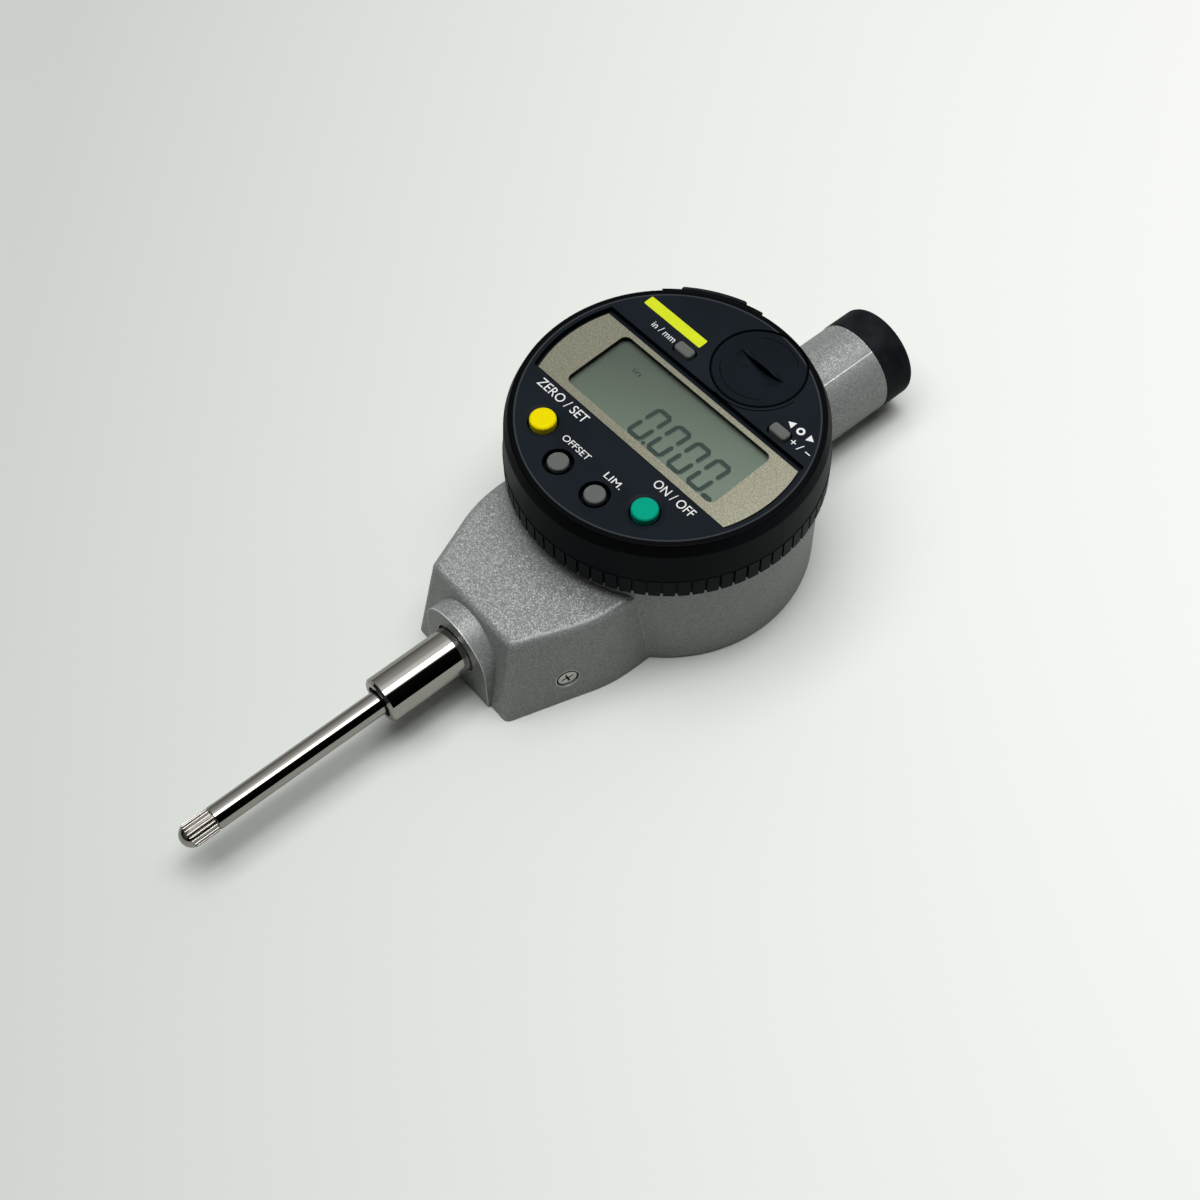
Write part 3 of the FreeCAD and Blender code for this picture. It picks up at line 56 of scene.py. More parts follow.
def aim_camera():
    back = Vector((math.sin(CAMERA_TURN) * math.cos(CAMERA_HEIGHT),
                   -math.cos(CAMERA_TURN) * math.cos(CAMERA_HEIGHT),
                   math.sin(CAMERA_HEIGHT)))
    right = Vector((math.cos(CAMERA_TURN), math.sin(CAMERA_TURN), 0))
    up = back.cross(right)
    level_right = right * math.cos(CAMERA_ROLL) + up * math.sin(CAMERA_ROLL)
    level_up = up * math.cos(CAMERA_ROLL) - right * math.sin(CAMERA_ROLL)
    data = bpy.data.cameras.new("camera")
    data.sensor_width = CAMERA_SENSOR
    data.sensor_fit = "HORIZONTAL"
    data.lens = CAMERA_FOCAL_PIXELS * CAMERA_SENSOR / CAMERA_FRAME_PIXELS
    data.clip_start = CAMERA_NEAR
    data.clip_end = CAMERA_FAR
    camera = bpy.data.objects.new("camera", data)
    place = Matrix((level_right, level_up, back)).transposed().to_4x4()
    place.translation = CAMERA_TARGET + back * CAMERA_REACH
    camera.matrix_world = place
    bpy.context.scene.collection.objects.link(camera)
    bpy.context.scene.camera = camera


aim_camera()

# Table top
# A plain pale board that the indicator lies on. Its tone is painted light, darker to the
# left and lighter to the right, as the room's light falls across it. It fills the view
# from every side, and far from the indicator it goes over into the pale tone of the surround.
TABLE_HALF = 6.0
TABLE_LEFT = (0.58, 0.60, 0.575, 1)
TABLE_MIDDLE = (0.77, 0.80, 0.76, 1)
TABLE_RIGHT = (0.91, 0.92, 0.89, 1)
TABLE_FADE = 0.28
TABLE_TURN_POINT = 0.55
TABLE_MIRRORED = 0.55
TABLE_BOUNCED = 0.66
TABLE_ROUGHNESS = 0.6
TABLE_GLOSS = 0.2
TABLE_FAR = (0.8, 0.81, 0.8, 1)
FAR_START = 0.27
FAR_FULL = 0.75
# The room gets lighter along this way across the floor.
ROOM_TURN = math.radians(51.4490)
ROOM_WAY = (math.cos(ROOM_TURN), math.sin(ROOM_TURN), 0)
# The Mix node names its sockets alike for numbers, vectors and colours, so its colours
# are found by their places.
MIX_A, MIX_B, MIX_OUT = 6, 7, 2


def new_finish(name):
    """A fresh node material with its shader, its node tree and its place coordinates."""
    material = bpy.data.materials.new(name)
    material.use_nodes = True
    tree = material.node_tree
    shader = tree.nodes["Principled BSDF"]
    place = tree.nodes.new("ShaderNodeTexCoord").outputs["Object"]
    return material, tree, shader, place


def feed(tree, socket, value):
    """Gives a socket another node's output, or a plain value."""
    if isinstance(value, bpy.types.NodeSocket):
        tree.links.new(value, socket)
    else:
        socket.default_value = value


def add_node(tree, kind, values=None, **settings):
    """A node with its settings, and its inputs by name or number."""
    node = tree.nodes.new(kind)
    for key, value in settings.items():
        setattr(node, key, value)
    for key, value in (values or {}).items():
        feed(tree, node.inputs[key], value)
    return node


def calculate(tree, operation, *values):
    """One number worked out from others."""
    node = add_node(tree, "ShaderNodeMath", dict(enumerate(values)), operation=operation)
    return node.outputs["Value"]


def combine(tree, operation, first, second):
    """One vector worked out from two."""
    node = add_node(tree, "ShaderNodeVectorMath", {0: first, 1: second}, operation=operation)
    return node.outputs["Vector"]


def scale_vector(tree, vector, scale):
    node = add_node(tree, "ShaderNodeVectorMath", {0: vector, "Scale": scale}, operation="SCALE")
    return node.outputs["Vector"]


def reach_along(tree, vector, way):
    """How far a vector goes along a direction."""
    node = add_node(tree, "ShaderNodeVectorMath", {0: vector, 1: way}, operation="DOT_PRODUCT")
    return node.outputs["Value"]


def length_of(tree, vector):
    node = add_node(tree, "ShaderNodeVectorMath", {0: vector}, operation="LENGTH")
    return node.outputs["Value"]


def split_axes(tree, vector):
    return add_node(tree, "ShaderNodeSeparateXYZ", {0: vector}).outputs


def spread(tree, value, low, high, low_out=0.0, high_out=1.0):
    """Moves a value from one range into another and holds it there."""
    node = add_node(tree, "ShaderNodeMapRange", {"Value": value, "From Min": low, "From Max": high,
                                                 "To Min": low_out, "To Max": high_out})
    return node.outputs["Result"]


def ramp(tree, source, stops):
    """Turns a value into a colour between the given stops."""
    node = add_node(tree, "ShaderNodeValToRGB", {"Fac": source})
    elements = node.color_ramp.elements
    elements[0].position, elements[0].color = stops[0]
    elements[1].position, elements[1].color = stops[-1]
    for position, color in stops[1:-1]:
        elements.new(position).color = color
    return node.outputs["Color"]


def grey_ramp(tree, source, stops):
    return ramp(tree, source, [(place, (tone, tone, tone, 1)) for place, tone in stops])


def mix_colors(tree, share, first, second, blend="MIX"):
    """From the first colour to the second as the share goes from 0 to 1."""
    node = add_node(tree, "ShaderNodeMix", {"Factor": share, MIX_A: first, MIX_B: second},
                    data_type="RGBA", blend_type=blend)
    return node.outputs[MIX_OUT]


def noise(tree, place, scale, detail):
    node = add_node(tree, "ShaderNodeTexNoise",
                    {"Vector": place, "Scale": scale, "Detail": detail})
    return node.outputs["Fac"]


def mix_shaders(tree, share, first, second):
    node = add_node(tree, "ShaderNodeMixShader", {"Fac": share, 1: first, 2: second})
    tree.links.new(node.outputs["Shader"], tree.nodes["Material Output"].inputs["Surface"])


def link_mesh(name, bm):
    """Closes a bmesh into an object that sits at the origin."""
    mesh = bpy.data.meshes.new(name)
    bm.to_mesh(mesh)
    bm.free()
    piece = bpy.data.objects.new(name, mesh)
    bpy.context.scene.collection.objects.link(piece)
    return piece


def make_table():
    bm = bmesh.new()
    bmesh.ops.create_grid(bm, x_segments=2, y_segments=2, size=TABLE_HALF)
    table = link_mesh("table", bm)
    material, tree, shader, place = new_finish("pale_table")
    # Painted light: the board's tone grows lighter along the room's way.
    across = spread(tree, reach_along(tree, place, ROOM_WAY), -TABLE_FADE / 2, TABLE_FADE / 2)
    tone = ramp(tree, across, [(0.0, TABLE_LEFT), (TABLE_TURN_POINT, TABLE_MIDDLE),
                               (1.0, TABLE_RIGHT)])
    rays = tree.nodes.new("ShaderNodeLightPath").outputs
    for kind, share in (("Is Glossy Ray", TABLE_MIRRORED), ("Is Diffuse Ray", TABLE_BOUNCED)):
        tone = mix_colors(tree, rays[kind], tone, (share, share, share, 1), "MULTIPLY")
    feed(tree, shader.inputs["Base Color"], tone)
    shader.inputs["Roughness"].default_value = TABLE_ROUGHNESS
    shader.inputs["Specular IOR Level"].default_value = TABLE_GLOSS
    far = spread(tree, length_of(tree, place), FAR_START, FAR_FULL)
    seen_far = calculate(tree, "MULTIPLY", far, rays["Is Camera Ray"])
    glow = add_node(tree, "ShaderNodeEmission", {"Color": TABLE_FAR})
    mix_shaders(tree, seen_far, shader.outputs["BSDF"], glow.outputs["Emission"])
    table.data.materials.append(material)


make_table()

# Studio light
# A bright soft box almost straight above the table, a wider diffuser beside it that
# only lights, and a surround that is bright overhead, dim to the left and dark to the
# right and in front.
BOX_PLACE = Vector((0.12, 0.11, 0.98))
BOX_WIDE = 0.36
BOX_DEEP = 0.62
BOX_POWER = 3.4
DIFFUSER_PLACE = Vector((-0.17, -0.12, 0.98))
DIFFUSER_WIDE = 0.54
DIFFUSER_DEEP = 0.80
DIFFUSER_POWER = 5.9
SKY_ACROSS = [(0.0, 0.48), (0.07, 0.40), (0.14, 0.41), (0.236, 0.47), (0.265, 0.56), (0.30, 0.76),
              (0.355, 0.90), (0.43, 1.0), (0.64, 1.0), (0.70, 0.004), (1.0, 0.002)]
SKY_ALONG = [(0.0, 0.08), (0.35, 0.15), (0.56, 0.85), (0.66, 1.0), (1.0, 0.55)]
SKY_UP = [(0.0, 0.25), (0.35, 0.55), (0.7, 1.0), (1.0, 1.0)]
SKY_SEEN = (0.8, 0.81, 0.8, 1)


def hang_lamp(name, place, wide, deep, power):
    """A rectangular lamp that looks at the origin, its length along Y."""
    data = bpy.data.lights.new(name, "AREA")
    data.shape = "RECTANGLE"
    data.size = wide
    data.size_y = deep
    data.energy = power
    lamp = bpy.data.objects.new(name, data)
    back = place.normalized()
    side = Vector((0, 1, 0)).cross(back).normalized()
    stand = Matrix((side, back.cross(side), back)).transposed().to_4x4()
    stand.translation = place
    lamp.matrix_world = stand
    bpy.context.scene.collection.objects.link(lamp)
    return lamp


def make_surround():
    """A sky whose brightness is the product of one ramp along each axis."""
    world = bpy.data.worlds.new("surround")
    bpy.context.scene.world = world
    world.use_nodes = True
    tree = world.node_tree
    axes = split_axes(tree, tree.nodes.new("ShaderNodeTexCoord").outputs["Generated"])
    sky = grey_ramp(tree, spread(tree, axes["X"], -1, 1), SKY_ACROSS)
    for axis, stops, lowest in (("Y", SKY_ALONG, -1), ("Z", SKY_UP, 0)):
        tone = grey_ramp(tree, spread(tree, axes[axis], lowest, 1), stops)
        sky = mix_colors(tree, 1.0, sky, tone, "MULTIPLY")
    rays = tree.nodes.new("ShaderNodeLightPath").outputs
    sky = mix_colors(tree, rays["Is Camera Ray"], sky, SKY_SEEN)
    feed(tree, tree.nodes["Background"].inputs["Color"], sky)


hang_lamp("soft_box", BOX_PLACE, BOX_WIDE, BOX_DEEP, BOX_POWER)
diffuser = hang_lamp("diffuser", DIFFUSER_PLACE, DIFFUSER_WIDE, DIFFUSER_DEEP, DIFFUSER_POWER)
diffuser.visible_glossy = False
make_surround()
bpy.context.scene.view_settings.view_transform = "Standard"

# Cast housing and rear cover
# A die casting of aluminium with a silver paint that holds fine metal flakes. Its outer
# edges are painted bright, as worn paint and as a painted highlight, and a painted
# highlight runs along the tube's parting line. The cover behind it has the same paint.
CAST_DARK = (0.215, 0.229, 0.222, 1)
CAST_MIDDLE = (0.290, 0.305, 0.296, 1)
CAST_BRIGHT = (0.43, 0.446, 0.43, 1)
CAST_WORN_HIGHLIGHT = (0.86, 0.875, 0.86, 1)
CAST_MIDDLE_SHARE = 0.6
CAST_METAL = 0.3
CAST_ROUGHNESS = 0.42
CAST_COAT = 0.2
CAST_COAT_ROUGHNESS = 0.3
FLAKE_SCALE = 5200.0
FLAKE_TILT = 0.38
WEAR_AND_HIGHLIGHT_REACH = 0.46 * MM
WEAR_AND_HIGHLIGHT_START = 0.02
WEAR_AND_HIGHLIGHT_FULL = 0.09
CORNER_REACH = 0.8 * MM
CORNER_HID = 0.80
CORNER_OPEN = 0.95
AXIS_Z = 11.0 * MM
TUBE_START_Y = 30.0 * MM
LINE_TURN = math.radians(25.0)
LINE_HALF = 0.10 * MM


def dress(material, *names):
    """Gives CAD nodes their finish in place of the one they came with."""
    for name in names:
        for place in nodes[name].material_slots:
            place.material = material


def bump(tree, shader, height, strength, distance):
    node = add_node(tree, "ShaderNodeBump",
                    {"Strength": strength, "Distance": distance, "Height": height})
    feed(tree, shader.inputs["Normal"], node.outputs["Normal"])


def worn_and_highlit_edges(tree):
    """How much an outer edge is painted bright, as worn paint and as painted highlight, from how
    far its rounded normal turns away.

    An inner corner turns the normal as well, but less of the sky is open there.
    """
    rounded = add_node(tree, "ShaderNodeBevel", {"Radius": WEAR_AND_HIGHLIGHT_REACH}, samples=6)
    flat = tree.nodes.new("ShaderNodeNewGeometry").outputs["True Normal"]
    turned = reach_along(tree, rounded.outputs["Normal"], flat)
    wear_and_highlight = spread(tree, turned, 1 - WEAR_AND_HIGHLIGHT_START, 1 - WEAR_AND_HIGHLIGHT_FULL)
    sky = add_node(tree, "ShaderNodeAmbientOcclusion", {"Distance": CORNER_REACH}, samples=8)
    outer = spread(tree, sky.outputs["AO"], CORNER_HID, CORNER_OPEN)
    return calculate(tree, "MULTIPLY", wear_and_highlight, outer)


def parting_line_highlight(tree, place):
    """A painted highlight: a fine bright line along the tube where the mould's halves met."""
    across = combine(tree, "SUBTRACT", place, (0, TUBE_START_Y, AXIS_Z))
    side = reach_along(tree, across, (math.cos(LINE_TURN), 0, -math.sin(LINE_TURN)))
    share = calculate(tree, "COMPARE", side, 0.0, LINE_HALF)
    axes = split_axes(tree, across)
    for axis in ("Y", "Z"):
        past = calculate(tree, "GREATER_THAN", axes[axis], 0.0)
        share = calculate(tree, "MULTIPLY", share, past)
    return share


def flake_normal(tree, random_color):
    """The surface's normal, tilted a little at random from flake to flake."""
    centred = combine(tree, "SUBTRACT", random_color, (0.5, 0.5, 0.5))
    tilt = scale_vector(tree, centred, FLAKE_TILT)
    flat = tree.nodes.new("ShaderNodeNewGeometry").outputs["Normal"]
    lean = combine(tree, "ADD", tilt, flat)
    unit = add_node(tree, "ShaderNodeVectorMath", {0: lean}, operation="NORMALIZE")
    return unit.outputs["Vector"]


def cast_paint():
    material, tree, shader, place = new_finish("silver_cast_paint")
    flakes = add_node(tree, "ShaderNodeTexVoronoi", {"Vector": place, "Scale": FLAKE_SCALE})
    random_color = flakes.outputs["Color"]
    pick = add_node(tree, "ShaderNodeSeparateColor", {"Color": random_color}).outputs["Red"]
    tone = ramp(tree, pick, [(0.0, CAST_DARK), (CAST_MIDDLE_SHARE, CAST_MIDDLE),
                             (1.0, CAST_BRIGHT)])
    # Painted highlight and wear along the outer edges, and painted highlight along the parting
    # line.
    bright = calculate(tree, "MAXIMUM", worn_and_highlit_edges(tree), parting_line_highlight(tree, place))
    feed(tree, shader.inputs["Base Color"], mix_colors(tree, bright, tone, CAST_WORN_HIGHLIGHT))
    feed(tree, shader.inputs["Normal"], flake_normal(tree, random_color))
    shader.inputs["Metallic"].default_value = CAST_METAL
    shader.inputs["Roughness"].default_value = CAST_ROUGHNESS
    shader.inputs["Coat Weight"].default_value = CAST_COAT
    shader.inputs["Coat Roughness"].default_value = CAST_COAT_ROUGHNESS
    return material


dress(cast_paint(), "main_housing", "rear_cover")

# Stem, spindle and contact point
# Hardened steel, ground round and polished until it mirrors the table and the lamps.
# Faint rings from grinding run round each shaft.
CHROME_TONE = (0.55, 0.53, 0.49, 1)
CHROME_ROUGHNESS = (0.02, 0.08)
GRIND_SCALE = 2600.0
GRIND_DETAIL = 3.0
GRIND_SQUEEZE = (0.02, 1.0, 0.02)
GRIND_BUMP = (0.08, 0.01 * MM)


def polished_steel():
    material, tree, shader, place = new_finish("polished_steel")
    shader.inputs["Base Color"].default_value = CHROME_TONE
    shader.inputs["Metallic"].default_value = 1.0
    along = add_node(tree, "ShaderNodeMapping", {"Vector": place, "Scale": GRIND_SQUEEZE})
    rings = noise(tree, along.outputs["Vector"], GRIND_SCALE, GRIND_DETAIL)
    feed(tree, shader.inputs["Roughness"], spread(tree, rings, 0, 1, *CHROME_ROUGHNESS))
    bump(tree, shader, rings, *GRIND_BUMP)
    return material


dress(polished_steel(), "stem", "spindle", "contact_point")

# Display shell
# The bezel, the serrated ring and the coin cap are moulded in navy black plastic with a
# satin skin, duller where it was handled. A painted highlight line and a band of painted
# shade run round the face's rim, the slopes are painted in shade, and the flank is
# painted darker than the face, with painted light on its side towards the room's light.
SHELL_TONE = (0.0075, 0.0105, 0.0145, 1)
SHELL_RUBBED = (0.0105, 0.0145, 0.0195, 1)
SHELL_FLANK_SHADE = (0.0020, 0.0038, 0.0058, 1)
SHELL_SHADE = (0.0010, 0.0013, 0.0018, 1)
SHELL_EDGE_HIGHLIGHT = (0.042, 0.047, 0.052, 1)
CAP_TONE = (0.0058, 0.0085, 0.0120, 1)
CAP_RUBBED = (0.0078, 0.0110, 0.0155, 1)
RING_FLANK_SHADE = (0.0060, 0.0085, 0.0105, 1)
SHELL_CLOUD_SCALE = 90.0
SHELL_CLOUD_DETAIL = 4.0
SHELL_GRAIN_SCALE = 2200.0
SHELL_BUMP = (0.12, 0.03 * MM)
GRAIN_DETAIL = 2.0
SHELL_ROUGHNESS = (0.32, 0.46)
SHELL_GLOSS = 0.05
CLOUD_LOW = 0.35
CLOUD_HIGH = 0.75
STEEP = 0.62
LEVEL = 0.72
UPRIGHT = 0.12
LEANING = 0.22
RIM_START = 28.3 * MM
RIM_END = 29.3 * MM
RIM_TAKES_OVER = [(0.15, 0), (0.35, 1)]
RIM_LINE_END = 0.45
RIM_BAND_START = 0.60
LIT_SIDE_SHARES = [(0.1, 0), (0.9, 0.45)]


def rim_bands(tree, place, tone):
    """The face's tone, with a painted highlight line and a band of painted shade at the rim."""
    reach = length_of(tree, combine(tree, "MULTIPLY", place, (1, 1, 0)))
    out = spread(tree, reach, RIM_START, RIM_END)
    # Painted highlight near the face's edge, then painted shade out to the rim.
    rim = ramp(tree, out, [(0.0, SHELL_EDGE_HIGHLIGHT), (RIM_LINE_END, SHELL_EDGE_HIGHLIGHT),
                           (RIM_BAND_START, SHELL_SHADE), (1.0, SHELL_SHADE)])
    return mix_colors(tree, grey_ramp(tree, out, RIM_TAKES_OVER), tone, rim)


def shell_plastic(name, plain, rubbed, flank):
    material, tree, shader, place = new_finish(name)
    normal = tree.nodes["Texture Coordinate"].outputs["Normal"]
    clouds = noise(tree, place, SHELL_CLOUD_SCALE, SHELL_CLOUD_DETAIL)
    tone = ramp(tree, clouds, [(CLOUD_LOW, plain), (CLOUD_HIGH, rubbed)])
    face = rim_bands(tree, place, tone)
    slope = split_axes(tree, normal)["Z"]
    # Painted shade: the flank and the slopes take darker tones than the face.
    steep = ramp(tree, slope, [(UPRIGHT, flank), (LEANING, SHELL_SHADE)])
    # Painted light: the flank is paler on its side towards the room's light.
    lit_flank = ramp(tree, clouds, [(CLOUD_LOW, SHELL_TONE), (CLOUD_HIGH, SHELL_RUBBED)])
    lit_side_share = grey_ramp(tree, reach_along(tree, normal, ROOM_WAY), LIT_SIDE_SHARES)
    sides = mix_colors(tree, lit_side_share, steep, lit_flank)
    level = grey_ramp(tree, slope, [(STEEP, 0), (LEVEL, 1)])
    feed(tree, shader.inputs["Base Color"], mix_colors(tree, level, sides, face))
    feed(tree, shader.inputs["Roughness"], spread(tree, clouds, 0, 1, *SHELL_ROUGHNESS))
    shader.inputs["Specular IOR Level"].default_value = SHELL_GLOSS
    bump(tree, shader, noise(tree, place, SHELL_GRAIN_SCALE, GRAIN_DETAIL), *SHELL_BUMP)
    return material


dress(shell_plastic("navy_shell_plastic", SHELL_TONE, SHELL_RUBBED, SHELL_FLANK_SHADE), "front_bezel")
dress(shell_plastic("navy_cap_plastic", CAP_TONE, CAP_RUBBED, SHELL_SHADE), "battery_cap")
dress(shell_plastic("navy_ring_plastic", SHELL_TONE, SHELL_RUBBED, RING_FLANK_SHADE), "grip_ring")

# Tube cap, port cover and seals
# Black rubber with a dull, slightly dusty skin, pressed on or into its seat.
RUBBER_TONE = (0.0060, 0.0078, 0.0095, 1)
RUBBER_DUST = (0.0180, 0.0220, 0.0250, 1)
RUBBER_ROUGHNESS = 0.5
RUBBER_GLOSS = 0.05
DUST_SCALE = 260.0
DUST_DETAIL = 6.0
DUST_BUMP = (0.1, 0.03 * MM)
DUST_START = 0.4
DUST_FULL = 0.85


def dull_rubber():
    material, tree, shader, place = new_finish("dull_black_rubber")
    dust = noise(tree, place, DUST_SCALE, DUST_DETAIL)
    tone = ramp(tree, dust, [(DUST_START, RUBBER_TONE), (DUST_FULL, RUBBER_DUST)])
    feed(tree, shader.inputs["Base Color"], tone)
    shader.inputs["Roughness"].default_value = RUBBER_ROUGHNESS
    shader.inputs["Specular IOR Level"].default_value = RUBBER_GLOSS
    bump(tree, shader, dust, *DUST_BUMP)
    return material


dress(dull_rubber(), "tube_cap", "output_cover", "rear_gasket", "spindle_wiper", "lower_bumper",
      "upper_bumper", "neck_seal", "battery_cap_seal", "zebra_strips")

# Window plate
# A thin aluminium plate with a champagne lacquer, satin and faintly grained, with a
# painted reflection that makes it paler to the right. Its cut edges and the opening's
# walls are painted near black as shade.
PLATE_TONE = (0.275, 0.268, 0.195, 1)
PLATE_SPARK = (0.46, 0.45, 0.345, 1)
PLATE_EDGE_SHADE = (0.006, 0.006, 0.007, 1)
PLATE_REFLECTION_GAIN = 1.42
PLATE_FADE = 38.51 * MM
PLATE_GRAIN_SCALE = 3200.0
PLATE_SPARK_START = 0.35
PLATE_SPARK_FULL = 0.72
PLATE_BUMP = (0.1, 0.02 * MM)
PLATE_METAL = 0.8
PLATE_ROUGHNESS = 0.3
EDGE_SLOPE = 0.7


def plate_lacquer():
    material, tree, shader, place = new_finish("champagne_lacquer")
    grain = noise(tree, place, PLATE_GRAIN_SCALE, GRAIN_DETAIL)
    tone = ramp(tree, grain, [(PLATE_SPARK_START, PLATE_TONE), (PLATE_SPARK_FULL, PLATE_SPARK)])
    # Painted reflection: the lacquer grows paler to the right.
    pale = spread(tree, split_axes(tree, place)["X"], 0.0, PLATE_FADE, 1.0, PLATE_REFLECTION_GAIN)
    tone = scale_vector(tree, tone, pale)
    # Painted shade: edges and walls that do not face up are near black.
    slope = split_axes(tree, tree.nodes["Texture Coordinate"].outputs["Normal"])["Z"]
    flat = calculate(tree, "GREATER_THAN", slope, EDGE_SLOPE)
    feed(tree, shader.inputs["Base Color"], mix_colors(tree, flat, PLATE_EDGE_SHADE, tone))
    shader.inputs["Metallic"].default_value = PLATE_METAL
    shader.inputs["Roughness"].default_value = PLATE_ROUGHNESS
    bump(tree, shader, grain, *PLATE_BUMP)
    return material


dress(plate_lacquer(), "window_trim")

# Display glass and its figures
# A grey green liquid crystal panel under a clear window. Its dark figures are thin
# segments, each a bar with pointed ends, and they lean a little to the right.
LCD_DIM = (0.088, 0.107, 0.085, 1)
LCD_LIT = (0.168, 0.212, 0.173, 1)
LCD_FADE = 0.012
LCD_FADE_WAY = (0.55, -0.83, 0)
LCD_GRAIN_SCALE = 3000.0
LCD_BUMP = (0.05, 0.01 * MM)
LCD_ROUGHNESS = 0.4
LCD_GLOSS = 0.2
HEAD_TURN = math.radians(2.48)
HEAD = Matrix.Rotation(HEAD_TURN, 4, "Z")
LCD_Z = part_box("lcd_panel")[1].z
FIGURE_T = 0.03 * MM
FIGURE_TONE = (0.030, 0.050, 0.044, 1)
SHADE_TONE = (0.100, 0.130, 0.110, 1)
SHADE_STEP = Vector((0.16, -0.20, 0)) * MM
FIGURE_COUNT = 4
FIGURE_W = 3.1 * MM
FIGURE_H = 7.6 * MM
FIGURE_FOOT = -6.85 * MM
FIGURE_PITCH = 5.3 * MM
FIGURE_FIRST = -3.5 * MM
FIGURE_LEAN = 0.09
BAR_W = 0.86 * MM
BAR_POINT = 0.42
WAIST_GAP = 0.36 * MM
DOT_LENGTH = 0.84 * MM
DOT_W = 0.8 * MM
DASH_LENGTH = 2.5 * MM
DASH_W = 1.1 * MM
UNIT_CORNER = (-13.1 * MM, 3.1 * MM)
UNIT_SIZE = (1.9 * MM, 1.15 * MM)
UNIT_TONE = (0.034, 0.047, 0.040, 1)
PLAIN_DETAIL = 3.0
PLAIN_DARKER_UP_TO = 0.3
PLAIN_LIGHTER_FROM = 0.7
PLAIN_BUMP = (0.08, 0.02 * MM)


def plain_finish(name, tone, roughness, metal, cloud_scale, waver, gloss=0.5):
    """A finish whose colour wavers a little, for pieces of one plain stuff."""
    material, tree, shader, place = new_finish(name)
    clouds = noise(tree, place, cloud_scale, PLAIN_DETAIL)
    darker = [c * (1 - waver) for c in tone[:3]] + [1]
    lighter = [c * (1 + waver) for c in tone[:3]] + [1]
    color = ramp(tree, clouds, [(PLAIN_DARKER_UP_TO, darker), (PLAIN_LIGHTER_FROM, lighter)])
    feed(tree, shader.inputs["Base Color"], color)
    shader.inputs["Roughness"].default_value = roughness
    shader.inputs["Metallic"].default_value = metal
    shader.inputs["Specular IOR Level"].default_value = gloss
    bump(tree, shader, clouds, *PLAIN_BUMP)
    return material


def display_film():
    """The panel's film, with painted shade that dims it towards its far left corner."""
    material, tree, shader, place = new_finish("display_grey_green")
    along = spread(tree, reach_along(tree, place, LCD_FADE_WAY), -LCD_FADE, LCD_FADE)
    feed(tree, shader.inputs["Base Color"], ramp(tree, along, [(0.0, LCD_DIM), (1.0, LCD_LIT)]))
    shader.inputs["Roughness"].default_value = LCD_ROUGHNESS
    shader.inputs["Specular IOR Level"].default_value = LCD_GLOSS
    bump(tree, shader, noise(tree, place, LCD_GRAIN_SCALE, GRAIN_DETAIL), *LCD_BUMP)
    return material


def figure_finish(name, tone):
    return plain_finish(name, tone, LCD_ROUGHNESS, metal=0.0, cloud_scale=40.0, waver=0.05,
                        gloss=LCD_GLOSS)


def add_bar(bm, start, end, width):
    """One straight segment with pointed ends between two points of the plane."""
    way = Vector((end[0] - start[0], end[1] - start[1], 0))
    turn = Matrix.Rotation(math.atan2(way.y, way.x), 4, "Z")
    middle = Vector(((start[0] + end[0]) / 2, (start[1] + end[1]) / 2, FIGURE_T / 2))
    size = Matrix.Diagonal((way.length, width, FIGURE_T, 1))
    made = bmesh.ops.create_cube(bm, size=1, matrix=Matrix.Translation(middle) @ turn @ size)
    upright = {e for v in made["verts"] for e in v.link_edges
               if abs(e.verts[0].co.z - e.verts[1].co.z) > FIGURE_T / 2}
    bmesh.ops.bevel(bm, geom=list(upright), offset=width * BAR_POINT, offset_type="OFFSET",
                    segments=1, profile=0.5, affect="EDGES", material=-1)


def add_nought(bm, left):
    """The six bars of a nought, parted at its waist."""
    right = left + FIGURE_W
    foot = FIGURE_FOOT
    waist = foot + FIGURE_H / 2
    top = foot + FIGURE_H
    for level in (foot, top):
        add_bar(bm, (left, level), (right, level), BAR_W)
    for side in (left, right):
        add_bar(bm, (side, foot), (side, waist - WAIST_GAP), BAR_W)
        add_bar(bm, (side, waist + WAIST_GAP), (side, top), BAR_W)


def cut_word(name, text, corner, size, thickness, finish):
    """Flat letters as a mesh, that fill a box of a given low corner and size."""
    data = bpy.data.curves.new(name, "FONT")
    data.body = text
    data.extrude = 0.5
    text_object = bpy.data.objects.new(name, data)
    bpy.context.scene.collection.objects.link(text_object)
    bpy.context.view_layer.update()
    mesh = bpy.data.meshes.new_from_object(text_object)
    bpy.data.objects.remove(text_object)
    low = Vector([min(v.co[i] for v in mesh.vertices) for i in range(3)])
    high = Vector([max(v.co[i] for v in mesh.vertices) for i in range(3)])
    span = high - low
    scale = Matrix.Diagonal((size[0] / span.x, size[1] / span.y, thickness / span.z, 1))
    move = Matrix.Translation((corner[0], corner[1], 0))
    mesh.transform(move @ scale @ Matrix.Translation(-low))
    mesh.materials.clear()
    mesh.materials.append(finish)
    word = bpy.data.objects.new(name, mesh)
    bpy.context.scene.collection.objects.link(word)
    return word


